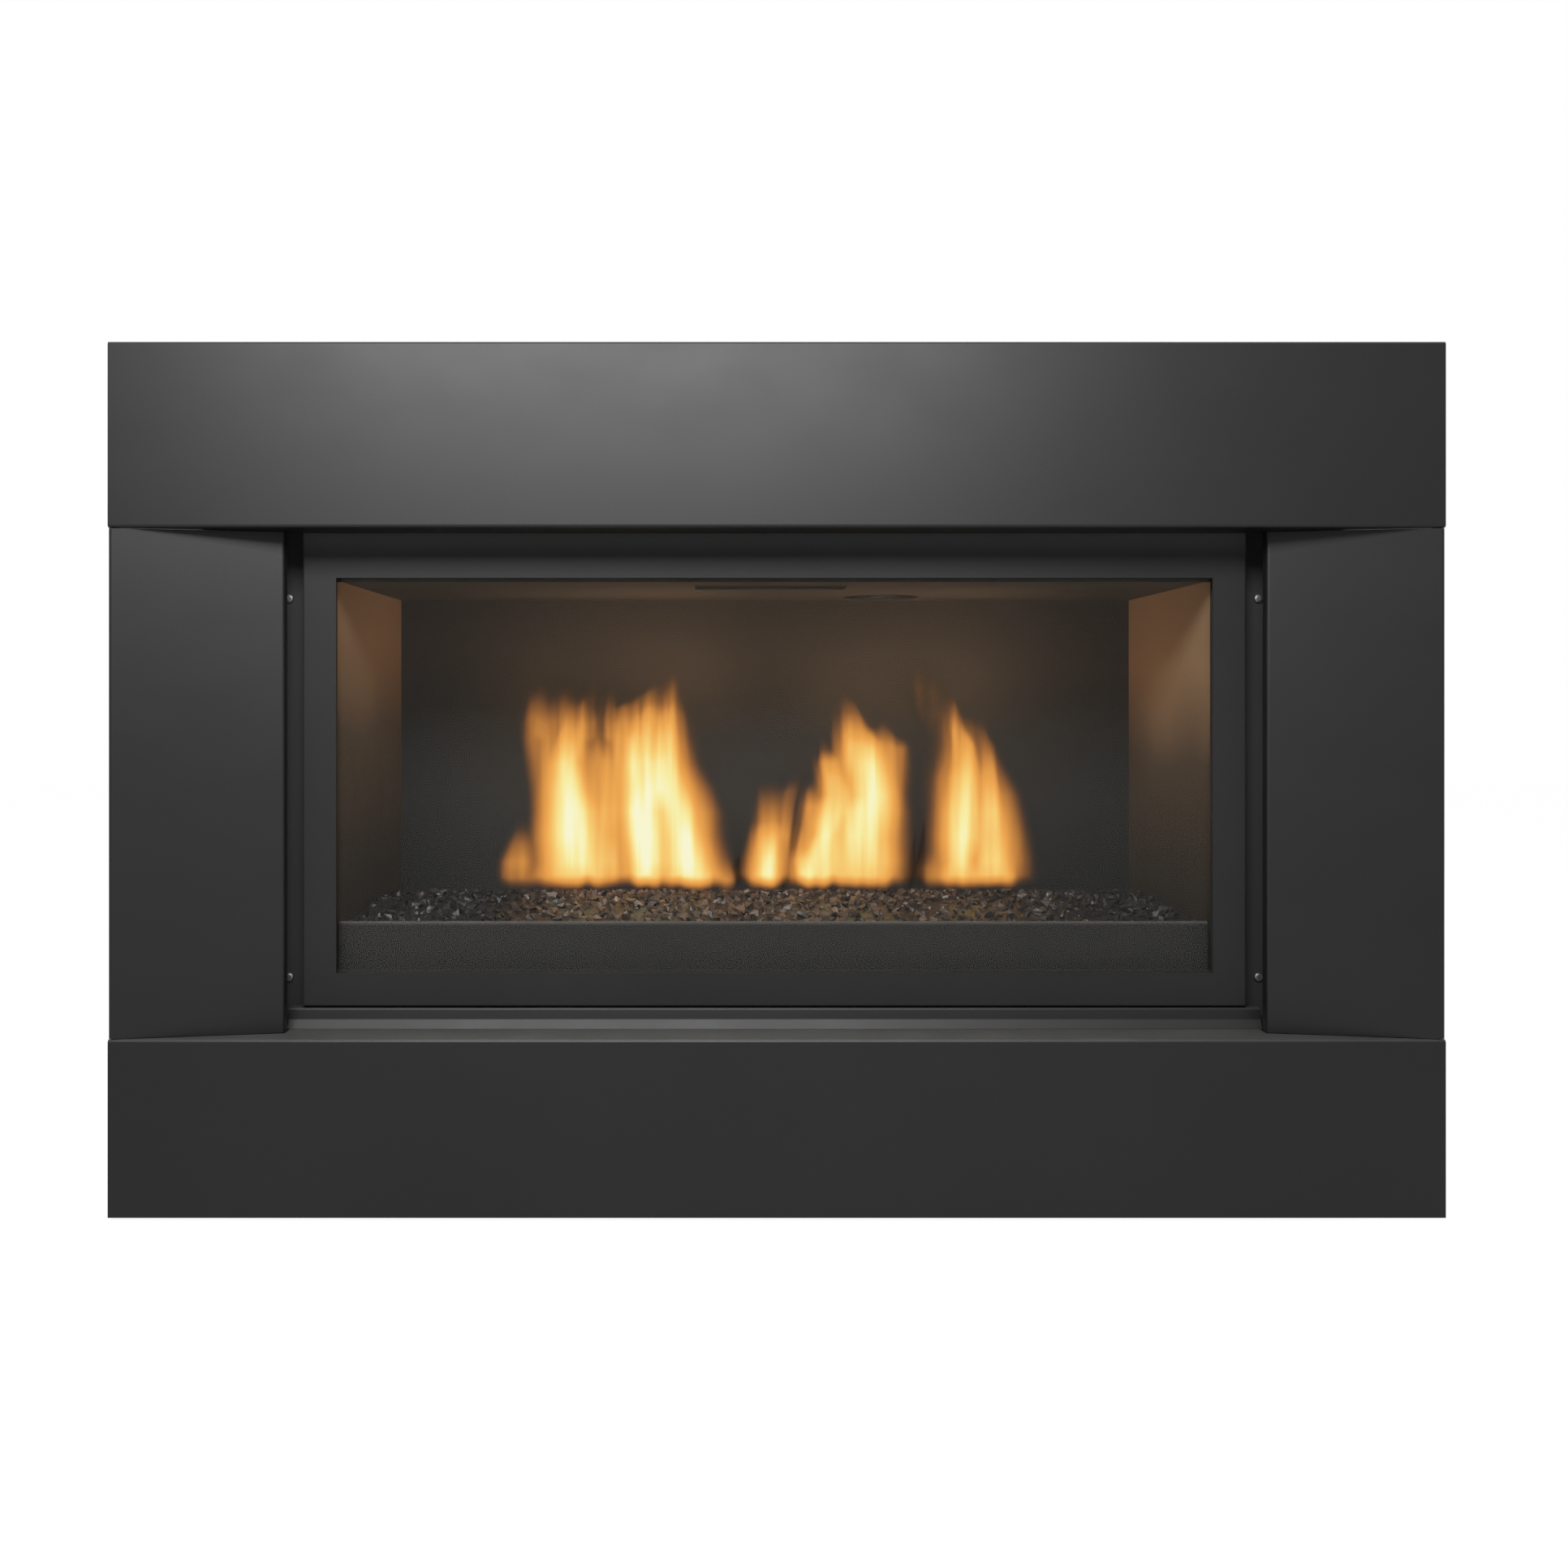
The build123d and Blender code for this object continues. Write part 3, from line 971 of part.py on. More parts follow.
def control_knob(x, marks):
    """Fluted knob with its stem; marks are raised ticks round the rim."""
    back = BRACKET_D - KNOB_STANDOFF
    front = back - KNOB_L
    knob = rod_y(KNOB_R, front, back, x, KNOB_Z)
    rim = knob.faces().sort_by(Axis.Y)[0].edges()
    knob = fillet(rim, 2)
    flutes = 12
    for step in range(flutes):
        angle = 2 * math.pi * (step + 0.5) / flutes
        place = (x + (KNOB_R + 1) * math.cos(angle), KNOB_Z + (KNOB_R + 1) * math.sin(angle))
        knob -= rod_y(2.4, front - 1, back - 5, *place)
    knob += span(x - 1.2, x + 1.2, front - 1, front, KNOB_Z + 2, KNOB_Z + KNOB_R - 3)
    for step in range(1, marks + 1):
        angle = math.pi / 2 - 2 * math.pi * step / flutes
        knob += rod_y(0.8, front - 0.6, front, x + 8 * math.cos(angle), KNOB_Z + 8 * math.sin(angle))
    return knob + rod_y(STEM_R, back, VALVE_D0 + STEM_DEPTH, x, KNOB_Z)


def igniter_body():
    """Piezo igniter barrel with its bezel and a bore for the button."""
    barrel = rod_y(IGNITER_R, BRACKET_D, BRACKET_D + IGNITER_L, IGNITER_X, IGNITER_Z)
    bezel = rod_y(IGNITER_R + 3, BRACKET_D - 3, BRACKET_D, IGNITER_X, IGNITER_Z)
    bore = rod_y(BUTTON_R + RUN, BRACKET_D - 4, BRACKET_D + IGNITER_L - 8, IGNITER_X, IGNITER_Z)
    return barrel + bezel - bore


def igniter_button():
    """Button that slides into the igniter."""
    front = BRACKET_D - 3 - BUTTON_TRAVEL - 4
    back = BRACKET_D + IGNITER_L - 8 - BUTTON_TRAVEL - 1
    button = rod_y(BUTTON_R, front, back, IGNITER_X, IGNITER_Z)
    return fillet(button.faces().sort_by(Axis.Y)[0].edges(), 1.2)


def switch_body():
    """Housing of the blower switch with an open front for the rocker."""
    half_w, half_h = SWITCH_W / 2, SWITCH_H / 2
    body = span(SWITCH_X - half_w, SWITCH_X + half_w, BRACKET_D, BRACKET_D + 26,
                SWITCH_Z - half_h, SWITCH_Z + half_h)
    body += span(SWITCH_X - half_w - 3, SWITCH_X + half_w + 3, BRACKET_D - 2, BRACKET_D,
                 SWITCH_Z - half_h - 3, SWITCH_Z + half_h + 3)
    body -= span(SWITCH_X - half_w + 3, SWITCH_X + half_w - 3, BRACKET_D - 3, BRACKET_D + 14,
                 SWITCH_Z - half_h + 3, SWITCH_Z + half_h - 3)
    return body - rod_x(1.5 + RUN, SWITCH_X - half_w + 1, SWITCH_X + half_w - 1, BRACKET_D + 4, SWITCH_Z)


def switch_rocker():
    """Rocker with stub pins, level in its middle position."""
    half = SWITCH_W / 2 - 3.6
    tall = SWITCH_H / 2 - 4.2
    d = BRACKET_D
    section = [(d - 5.5, SWITCH_Z + tall), (d - 3.5, SWITCH_Z), (d - 5.5, SWITCH_Z - tall),
               (d + 2, SWITCH_Z - tall + 1), (d + 7, SWITCH_Z), (d + 2, SWITCH_Z + tall - 1)]
    cap = profile_x(section, SWITCH_X - half, SWITCH_X + half)
    return cap + rod_x(1.5, SWITCH_X - SWITCH_W / 2 + 1.4, SWITCH_X + SWITCH_W / 2 - 1.4, d + 4, SWITCH_Z)


def gas_pipes():
    """Supply pipe in two lengths, and the pipe from the valve to the orifice."""
    supply = rod_x(PIPE_R, VALVE_X1 + 12, SHUTOFF_X0, LINE_D, LINE_Z)
    supply -= rod_x(PIPE_R - 1, VALVE_X1 + 11, SHUTOFF_X0 + 1, LINE_D, LINE_Z)
    inlet = rod_x(PIPE_R, SHUTOFF_X1, HALF_CASING - 17, LINE_D, LINE_Z)
    inlet -= rod_x(PIPE_R - 1, SHUTOFF_X1 - 1, HALF_CASING - 16, LINE_D, LINE_Z)
    x, d = VALVE_X0 + 20, VALVE_D1 + 12
    route = [(x, d, VALVE_Z1 - 20), (x, BURNER_D, VALVE_Z1 - 20), (x, BURNER_D, VENTURI_Z),
             (VENTURI_MOUTH_X + ORIFICE_L, BURNER_D, VENTURI_Z)]
    bend = min(PIPE_BEND, 0.9 * (BURNER_D - d))
    burner = tube(route, BURNER_PIPE_R, bend, BURNER_PIPE_R - 1)
    return group([supply, inlet, burner])


def pilot_pipe():
    """Thin pipe from the valve up to the pilot."""
    x, d = VALVE_X1 - 40, VALVE_D0 + 38
    level = VENTURI_Z + 18
    route = [(x, d, VALVE_Z1 + 8), (x, d, level), (x, PILOT_D, level), (PILOT_X, PILOT_D, level),
             (PILOT_X, PILOT_D, TRAY_FLOOR_Z)]
    return tube(route, PILOT_PIPE_R, 16, PILOT_PIPE_R - 0.8)


def electric_leads():
    """Ignition lead, and the supply and blower leads of the switch."""
    x = PILOT_X - ELECTRODE_STEP
    rise = VENTURI_Z + 40
    tail = BRACKET_D + IGNITER_L
    turn = tail + 26
    ignition = tube([(IGNITER_X, tail, IGNITER_Z), (IGNITER_X, turn, IGNITER_Z), (IGNITER_X, turn, rise),
                     (x, turn, rise), (x, PILOT_D, rise), (x, PILOT_D, TRAY_FLOOR_Z)], LEAD_R, 12)
    back = BRACKET_D + 26
    supply = tube([(SWITCH_X + 6, back, GLAND_Z), (SWITCH_X + 6, GLAND_D, GLAND_Z),
                   (CASING_INNER - 8, GLAND_D, GLAND_Z)], POWER_LEAD_R, 24)
    level = SWITCH_Z + 7
    blower = tube([(SWITCH_X - 6, back, level), (SWITCH_X - 6, BLOWER_D, level),
                   (motor_x()[1], BLOWER_D, level)], POWER_LEAD_R, 18)
    return group([ignition, supply, blower])


def shutoff_valve():
    """Ball valve body with a stem boss on top."""
    middle = (SHUTOFF_X0 + SHUTOFF_X1) / 2
    body = rod_x(SHUTOFF_R, SHUTOFF_X0, SHUTOFF_X1, LINE_D, LINE_Z)
    body += rod_z(7, LINE_Z, LINE_Z + SHUTOFF_R + 5, middle, LINE_D)
    return body - rod_z(STEM_R + RUN, LINE_Z, LINE_Z + SHUTOFF_R + 6, middle, LINE_D)


def shutoff_lever():
    """Lever that lies along the pipe when the valve is open."""
    middle = (SHUTOFF_X0 + SHUTOFF_X1) / 2
    low = LINE_Z + SHUTOFF_R + 5 + FACE_GAP
    lever = span(middle - LEVER_L, middle, LINE_D - 5, LINE_D + 5, low, low + 3)
    lever = fillet(lever.edges().filter_by(Axis.Z), 3)
    lever += rod_z(8, low, low + 5, middle, LINE_D)
    return lever + rod_z(STEM_R, LINE_Z + 2, low, middle, LINE_D)


def gas_inlet_fitting():
    """Hexagonal bulkhead fitting for the gas line, through the casing side."""
    plane = Plane.YZ.offset(HALF_CASING) * Pos(FACE_Y + LINE_D, LINE_Z)
    fitting = extrude(plane * RegularPolygon(SHUTOFF_R + 3, 6), INLET_OUT)
    fitting += rod_x(SHUTOFF_R - 1, HALF_CASING - 17, HALF_CASING, LINE_D, LINE_Z)
    outer = HALF_CASING + INLET_OUT
    fitting -= rod_x(INLET_BORE_R, outer - INLET_BORE_L, outer + 1, LINE_D, LINE_Z)
    return fitting - rod_x(PIPE_R - 1, HALF_CASING - 18, outer, LINE_D, LINE_Z)


def cable_gland():
    """Gland for the supply cord, through the casing side."""
    gland = rod_x(GLAND_R, HALF_CASING, HALF_CASING + 12, GLAND_D, GLAND_Z)
    gland = fillet(gland.faces().sort_by(Axis.X)[-1].edges(), 3)
    gland += rod_x(GLAND_R - 3, CASING_INNER - 8, HALF_CASING, GLAND_D, GLAND_Z)
    plane = Plane.YZ.offset(CASING_INNER - 5) * Pos(FACE_Y + GLAND_D, GLAND_Z)
    nut = extrude(plane * RegularPolygon(GLAND_R, 6), 5)
    bore = rod_x(GLAND_BORE_R, CASING_INNER, HALF_CASING + 13, GLAND_D, GLAND_Z)
    return gland + nut - bore


# ---------------------------------------------------------------- blower
def motor_x():
    """(near, far) end of the motor."""
    near = ROTOR_HALF + 12
    return near, near + MOTOR_L


def blower_housing():
    """Scroll between two end plates that stand on the base."""
    reach = SCROLL_R + SCROLL_T
    half = ROTOR_HALF + 4
    d0, d1 = BLOWER_D - reach - 3, BLOWER_D + reach + 3
    plate = span(half, half + SCROLL_T, d0, d1, BASE_Z, BLOWER_TOP)
    plate -= rod_x(AXLE_R + RUN, half - 1, half + SCROLL_T + 1, BLOWER_D, BLOWER_Z)
    shell = rod_x(reach, -half, half, BLOWER_D, BLOWER_Z)
    shell -= rod_x(SCROLL_R, -half - 1, half + 1, BLOWER_D, BLOWER_Z)
    front_d, back_d = BLOWER_D - reach - 1, BLOWER_D + reach + 1
    shell -= span(-half - 1, half + 1, front_d, back_d, BLOWER_Z, BLOWER_Z + reach + 1)
    shell -= span(-half - 1, half + 1, front_d, BLOWER_D - 12, BLOWER_Z - reach - 1, BLOWER_Z + 1)
    rear = span(-half, half, BLOWER_D + SCROLL_R, BLOWER_D + reach, BLOWER_Z, BLOWER_TOP)
    front = span(-half, half, BLOWER_D - reach, BLOWER_D - SCROLL_R, BLOWER_Z + 12, BLOWER_TOP)
    foot = span(half, half + BLOWER_FOOT, d0, d1, BASE_Z, BASE_Z + SCROLL_T)
    return shell + rear + front + plate + mirrored(plate) + foot + mirrored(foot)


def blower_rotor():
    """Cross-flow rotor: two end discs, a ring of blades and an axle."""
    far = motor_x()[0]
    disc_t = 2.0
    disc = rod_x(ROTOR_R, ROTOR_HALF - disc_t, ROTOR_HALF, BLOWER_D, BLOWER_Z)
    rotor = disc + mirrored(disc)
    rotor += rod_x(AXLE_R, -far, far + 10, BLOWER_D, BLOWER_Z)
    middle_r = ROTOR_R - BLADE_DEPTH / 2 - 0.5
    lean = 30.0
    for step in range(BLADES):
        angle = 360.0 * step / BLADES
        blade = Box(2 * ROTOR_HALF, BLADE_DEPTH, BLADE_T)
        place = Pos(0, FACE_Y + BLOWER_D, BLOWER_Z) * Rot(angle, 0, 0) * Pos(0, middle_r, 0) * Rot(lean, 0, 0)
        rotor += place * blade
    return rotor


def blower_motor():
    """Motor can on a saddle, beside the housing."""
    near, far = motor_x()
    can = rod_x(MOTOR_R, near, far, BLOWER_D, BLOWER_Z)
    can = fillet(can.edges().filter_by(GeomType.CIRCLE), 3)
    can -= rod_x(AXLE_R + RUN, near - 1, near + 11, BLOWER_D, BLOWER_Z)
    return can + span(near + 10, far - 10, BLOWER_D - SADDLE, BLOWER_D + SADDLE, BASE_Z, BLOWER_Z - SADDLE)


# ---------------------------------------------------------------- vents
def vent_collar(x, foot):
    """Collar tube with a flange that rests on the casing top."""
    inner = COLLAR_R - COLLAR_WALL
    collar = rod_z(COLLAR_R, foot, COLLAR_TOP, x, COLLAR_D)
    collar += rod_z(COLLAR_R + COLLAR_FLANGE, CASING_TOP, CASING_TOP + 1.5, x, COLLAR_D)
    return collar - rod_z(inner, foot - 1, COLLAR_TOP + 1, x, COLLAR_D)


def intake_duct():
    """Flat duct from the intake collar over the firebox and down behind it."""
    x0, x1 = INTAKE_X - DUCT_HALF, INTAKE_X + DUCT_HALF
    rear0, rear1 = SHELL_BACK_D + 9, DEPTH - CASING_T - 8
    outer = span(x0, x1, COLLAR_D - DUCT_HALF, rear1, DUCT_Z0, DUCT_Z1)
    outer += span(x0, x1, rear0, rear1, DUCT_FOOT, DUCT_Z1)
    outer += span(x0, x1, SHELL_BACK_D, rear1, DUCT_FOOT, DUCT_FOOT + 28)
    t = COLLAR_WALL
    inner = span(x0 + t, x1 - t, COLLAR_D - DUCT_HALF + t, rear1 - t, DUCT_Z0 + t, DUCT_Z1 - t)
    inner += span(x0 + t, x1 - t, rear0 + t, rear1 - t, DUCT_FOOT + t, DUCT_Z1 - t)
    inner += span(x0 + t, x1 - t, SHELL_BACK_D - 1, rear1 - t, DUCT_FOOT + t, DUCT_FOOT + 28 - t)
    inner += rod_z(COLLAR_R - COLLAR_WALL, DUCT_Z1 - 5, DUCT_Z1 + 1, INTAKE_X, COLLAR_D)
    return outer - inner


# ---------------------------------------------------------------- the whole insert
def build():
    """Every piece, by the name of its node."""
    side = surround_side_panel()
    return {
        "surround_top_panel": surround_top_panel(),
        "surround_right_panel": side,
        "surround_left_panel": mirrored(side),
        "surround_brackets": surround_brackets(),
        "access_panel": access_panel(),
        "access_hinge_brackets": access_hinge_brackets(),
        "hinge_pins": hinge_pins(),
        "magnet_catches": magnet_catches(),
        "casing_base": casing_base(),
        "base_runners": base_runners(),
        "casing_right_side": casing_side(True),
        "casing_left_side": casing_side(False),
        "casing_back": casing_back(),
        "casing_top": casing_top(),
        "surround_screws": surround_screws(),
        "firebox_front_frame": firebox_front_frame(),
        "front_frame_screws": front_frame_screws(),
        "firebox_floor": firebox_floor(),
        "firebox_side_walls": firebox_side_walls(),
        "firebox_back_wall": firebox_back_wall(),
        "firebox_top": firebox_top(),
        "relief_flap": relief_flap(),
        "side_liners": side_liners(),
        "back_liner": back_liner(),
        "sill": sill(),
        "glass_door_frame": glass_door_frame(),
        "door_pin_brackets": door_pin_brackets(),
        "glass_pane": glass_pane(),
        "glass_seals": glass_seals(),
        "pane_clips": pane_clips(),
        "door_catch_clips": door_catch_clips(),
        "burner_tray": burner_tray(),
        "burner_tube": burner_tube(),
        "media_bed": media_bed(),
        "pilot_burner": pilot_burner(),
        "venturi": venturi(),
        "air_shutter": air_shutter(),
        "orifice_fitting": orifice_fitting(),
        "control_bracket": control_bracket(),
        "gas_valve": gas_valve(),
        "gas_control_knob": control_knob(KNOB_X[0], 3),
        "flame_height_knob": control_knob(KNOB_X[1], 6),
        "igniter_body": igniter_body(),
        "igniter_button": igniter_button(),
        "switch_body": switch_body(),
        "switch_rocker": switch_rocker(),
        "gas_pipes": gas_pipes(),
        "pilot_pipe": pilot_pipe(),
        "electric_leads": electric_leads(),
        "shutoff_valve": shutoff_valve(),
        "shutoff_lever": shutoff_lever(),
        "gas_inlet_fitting": gas_inlet_fitting(),
        "cable_gland": cable_gland(),
        "blower_housing": blower_housing(),
        "blower_rotor": blower_rotor(),
        "blower_motor": blower_motor(),
        "exhaust_collar": vent_collar(EXHAUST_X, CEILING_Z + WALL_T),
        "intake_collar": vent_collar(INTAKE_X, DUCT_Z1),
        "intake_duct": intake_duct(),
    }


os.makedirs("parts", exist_ok=True)
for node, shape in build().items():
    export_step(shape, f"parts/{node}.step")
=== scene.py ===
"""Dressed scene of a linear gas fireplace insert: finishes, crushed media, flames, light and camera.

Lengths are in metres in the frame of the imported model.  The flat face of the surround looks towards -Y.
"""
import bmesh
import bpy
import json
import math
import numpy as np
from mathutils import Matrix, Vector, noise


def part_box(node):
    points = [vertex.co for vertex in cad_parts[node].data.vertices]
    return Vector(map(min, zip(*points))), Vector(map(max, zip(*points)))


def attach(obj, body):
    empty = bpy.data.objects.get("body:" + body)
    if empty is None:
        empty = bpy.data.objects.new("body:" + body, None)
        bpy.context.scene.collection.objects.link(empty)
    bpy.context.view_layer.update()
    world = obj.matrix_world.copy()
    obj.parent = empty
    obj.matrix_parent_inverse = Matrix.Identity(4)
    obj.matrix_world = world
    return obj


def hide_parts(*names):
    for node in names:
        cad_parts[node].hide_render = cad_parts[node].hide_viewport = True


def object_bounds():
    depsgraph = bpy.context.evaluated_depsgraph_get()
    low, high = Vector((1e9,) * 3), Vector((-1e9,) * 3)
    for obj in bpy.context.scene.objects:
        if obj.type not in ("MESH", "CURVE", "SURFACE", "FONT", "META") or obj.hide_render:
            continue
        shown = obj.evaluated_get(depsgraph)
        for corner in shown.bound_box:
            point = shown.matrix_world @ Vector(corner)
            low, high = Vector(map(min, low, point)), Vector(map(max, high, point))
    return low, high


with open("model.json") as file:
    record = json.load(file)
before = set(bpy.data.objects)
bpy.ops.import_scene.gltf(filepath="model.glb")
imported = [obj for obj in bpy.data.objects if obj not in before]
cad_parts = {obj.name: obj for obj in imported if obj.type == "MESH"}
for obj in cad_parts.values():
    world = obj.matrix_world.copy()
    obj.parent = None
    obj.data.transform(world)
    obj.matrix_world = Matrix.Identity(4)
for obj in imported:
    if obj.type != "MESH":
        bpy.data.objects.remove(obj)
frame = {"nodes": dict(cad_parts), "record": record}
cad_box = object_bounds()
nodes = frame["nodes"]

# ---------------------------------------------------------------- camera
CAMERA_PLACE = (-0.0486, -1.450, 0.4046)
CAMERA_SHIFT = (0.0435, -0.0445)
LENS = 36.0
SENSOR = 36.0

# ---------------------------------------------------------------- light
WORLD_LIGHT = 0.30           # strength of the plain surroundings
KEY_PLACE = (-0.175, -0.95, 0.99)
KEY_AIM = (-0.10, -0.20, 0.45)
KEY_SIZE = (0.90, 0.28)
KEY_POWER = 24.0
TOP_PLACE = (0.0, -0.90, 2.00)
TOP_AIM = (0.0, -0.15, 0.20)
TOP_SIZE = (1.00, 0.70)
TOP_POWER = 3.0
REAR_PLACE = (0.7, 2.2, 1.7)
REAR_AIM = (0.0, 0.2, 0.35)
REAR_SIZE = (1.4, 1.4)
REAR_POWER = 30.0
STAGE_WHITE = 0.80           # share of plain white in what a camera sees of the floor
STAGE_LIFT = 1.18            # brings the open floor up to white

# ---------------------------------------------------------------- fire
GLOW_COLOUR = (1.0, 0.66, 0.36)
GLOW_POWER = 0.55            # each of the lamps inside the flames
GLOW_PLACES = ((-0.19, 0.40), (-0.09, 0.43), (0.09, 0.41), (0.19, 0.42))   # x and height


# ---------------------------------------------------------------- node helpers
def material(name, base, roughness, metallic=0.0, specular=0.5):
    """New material whose constant values sit on the shader's own sockets."""
    made = bpy.data.materials.new(name)
    made.use_nodes = True
    shader = made.node_tree.nodes["Principled BSDF"]
    shader.inputs["Base Color"].default_value = (*base, 1.0)
    shader.inputs["Roughness"].default_value = roughness
    shader.inputs["Metallic"].default_value = metallic
    shader.inputs["Specular IOR Level"].default_value = specular
    return made


def place_on(made):
    """Coordinates that are fixed to the piece."""
    return made.node_tree.nodes.new("ShaderNodeTexCoord").outputs["Object"]


def texture(made, kind, scale, stretch=(1.0, 1.0, 1.0), **settings):
    """Procedural texture that is fixed to the piece, stretched along its axes."""
    tree = made.node_tree
    mapping = tree.nodes.new("ShaderNodeMapping")
    mapping.inputs["Scale"].default_value = stretch
    tree.links.new(place_on(made), mapping.inputs["Vector"])
    pattern = tree.nodes.new(kind)
    pattern.inputs["Scale"].default_value = scale
    for key, value in settings.items():
        pattern.inputs[key.title()].default_value = value
    tree.links.new(mapping.outputs["Vector"], pattern.inputs["Vector"])
    return pattern


def apart(made, vector):
    """X, Y and Z of a vector, one by one."""
    parts = made.node_tree.nodes.new("ShaderNodeSeparateXYZ")
    made.node_tree.links.new(vector, parts.inputs["Vector"])
    return parts.outputs


def scaled_sum(made, value, factor, addend):
    """A value times a factor, plus another value."""
    tree = made.node_tree
    total = tree.nodes.new("ShaderNodeMath")
    total.operation = "MULTIPLY_ADD"
    total.inputs[1].default_value = factor
    tree.links.new(value, total.inputs[0])
    tree.links.new(addend, total.inputs[2])
    return total.outputs["Value"]


def smooth_share(made, value, low, high):
    """Share that goes smoothly from 0 to 1 as a value goes from low to high."""
    tree = made.node_tree
    share = tree.nodes.new("ShaderNodeMapRange")
    share.interpolation_type = "SMOOTHSTEP"
    share.inputs["From Min"].default_value = low
    share.inputs["From Max"].default_value = high
    tree.links.new(value, share.inputs["Value"])
    return share.outputs["Result"]


def colour_ramp(made, value, stops):
    """Colours along a texture's value; stops are (place, colour)."""
    tree = made.node_tree
    ramp = tree.nodes.new("ShaderNodeValToRGB")
    elements = ramp.color_ramp.elements
    elements.remove(elements[1])
    elements[0].position = stops[0][0]
    elements[0].color = (*stops[0][1], 1.0)
    for where, colour in stops[1:]:
        elements.new(where).color = (*colour, 1.0)
    tree.links.new(value, ramp.inputs["Fac"])
    return ramp.outputs["Color"]


def colour_from(made, value, stops, socket="Base Color"):
    """Colours along a texture's value, into a socket of the shader."""
    tree = made.node_tree
    colour = colour_ramp(made, value, stops)
    tree.links.new(colour, tree.nodes["Principled BSDF"].inputs[socket])
    return colour


def second_colour(made, first, share):
    """Base colour between a first and a second one, by a share; returns the socket of the second."""
    tree = made.node_tree
    mix = tree.nodes.new("ShaderNodeMix")
    mix.data_type = "RGBA"
    tree.links.new(share, mix.inputs["Factor"])
    tree.links.new(first, mix.inputs[6])
    tree.links.new(mix.outputs[2], tree.nodes["Principled BSDF"].inputs["Base Color"])
    return mix.inputs[7]


def roughness_from(made, value, low, high):
    """Roughness that varies between two numbers with a texture's value."""
    tree = made.node_tree
    spread = tree.nodes.new("ShaderNodeMapRange")
    spread.inputs["From Min"].default_value = 0.25
    spread.inputs["From Max"].default_value = 0.75
    spread.inputs["To Min"].default_value = low
    spread.inputs["To Max"].default_value = high
    tree.links.new(value, spread.inputs["Value"])
    tree.links.new(spread.outputs["Result"], tree.nodes["Principled BSDF"].inputs["Roughness"])


def relief(made, value, depth, strength=1.0):
    """Fine relief from a texture's value; depth in metres.  Reliefs of one material add up."""
    tree = made.node_tree
    shader = tree.nodes["Principled BSDF"]
    bump = tree.nodes.new("ShaderNodeBump")
    bump.inputs["Strength"].default_value = strength
    bump.inputs["Distance"].default_value = depth
    tree.links.new(value, bump.inputs["Height"])
    if shader.inputs["Normal"].links:
        tree.links.new(shader.inputs["Normal"].links[0].from_socket, bump.inputs["Normal"])
    tree.links.new(bump.outputs["Normal"], shader.inputs["Normal"])


def grey(level, warmth=0.0):
    """Grey with a slight warm or cold cast."""
    return (level * (1 + warmth), level, level * (1 - warmth))


# ---------------------------------------------------------------- finishes
MIDDLE_GLOW = 0.20          # share of the full painted glow half-way up the firebox
FACING_UP = (0.25, 0.95)     # upward part of a face's direction: no painted top light, full painted top light
SHADE_LIFT_HEIGHTS = (0.532, 0.552)     # heights between which the glass frame's paint turns paler: painted light that lifts the top panel's shade on the top rail
SHADE_LIFT_LEVEL = 0.036
GLOW_SHARES = (0.30, 0.70, 0.95)   # shares of the firebox's height: no painted glow, glow rising, full painted glow
SOOT_SHARE = 0.22            # how far the soot's patches move those heights
LEAN_SHARE = 0.10            # and how far they move for each metre to the right, painting more glow on the right-hand side
FIRE_COLOURS = ((0.0, (0.30, 0.09, 0.02)), (0.3, (0.62, 0.24, 0.045)), (0.55, (0.92, 0.42, 0.085)),
                (0.75, (1.0, 0.68, 0.20)), (0.90, (1.0, 0.91, 0.41)), (1.0, (1.0, 0.99, 0.70)))
FIRE_SHOWS = (0.055, 0.46)   # heat at which burning gas begins to show, and at which it hides what is behind


def powder_coat(name, level, roughness, specular, warmth=0.0, film=None):
    """Powder coat: faint clouding, rubbed patches and fine orange peel, with painted light from above on the
    faces that look up for a film.
    """
    made = material(name, grey(level, warmth), roughness, specular=specular)
    cloud = texture(made, "ShaderNodeTexNoise", 5.0, detail=3.0)
    paint = colour_from(made, cloud.outputs["Fac"],
                        [(0.3, grey(level * 0.9, warmth)), (0.7, grey(level * 1.12, warmth))])
    # a film paints light from above onto the faces that look up
    if film:
        painted_top_light(made, paint, film)
    rub = texture(made, "ShaderNodeTexNoise", 14.0, stretch=(1.0, 1.0, 1.6), detail=5.0)
    roughness_from(made, rub.outputs["Fac"], roughness - 0.03, roughness + 0.03)
    peel = texture(made, "ShaderNodeTexNoise", 420.0, detail=2.0)
    relief(made, peel.outputs["Fac"], 0.00003)
    return made


def painted_top_light(made, paint, film):
    """Paler colour on the faces that look up, in uneven dust-like patches: painted light from above."""
    facing = made.node_tree.nodes.new("ShaderNodeNewGeometry")
    share = smooth_share(made, apart(made, facing.outputs["Normal"])["Z"], *FACING_UP)
    patches = texture(made, "ShaderNodeTexNoise", 22.0, detail=4.0)
    # painted light: the paler colour given to faces that look up
    dust = colour_ramp(made, patches.outputs["Fac"],
                       [(0.3, grey(film * 0.88, 0.02)), (0.7, grey(film * 1.12, 0.02))])
    made.node_tree.links.new(dust, second_colour(made, paint, share))


def frame_coat():
    """Paint of the glass frame, paler towards its top rail: painted light that lifts the shade which the top
    panel casts there.
    """
    made = powder_coat("frame_powder_coat", 0.012, 0.50, 0.11)
    paint = made.node_tree.nodes["Principled BSDF"].inputs["Base Color"].links[0].from_socket
    # painted light: paler paint where the top panel's shadow falls on the top rail
    share = smooth_share(made, apart(made, place_on(made))["Z"], *SHADE_LIFT_HEIGHTS)
    second_colour(made, paint, share).default_value = (*grey(SHADE_LIFT_LEVEL), 1.0)
    return made


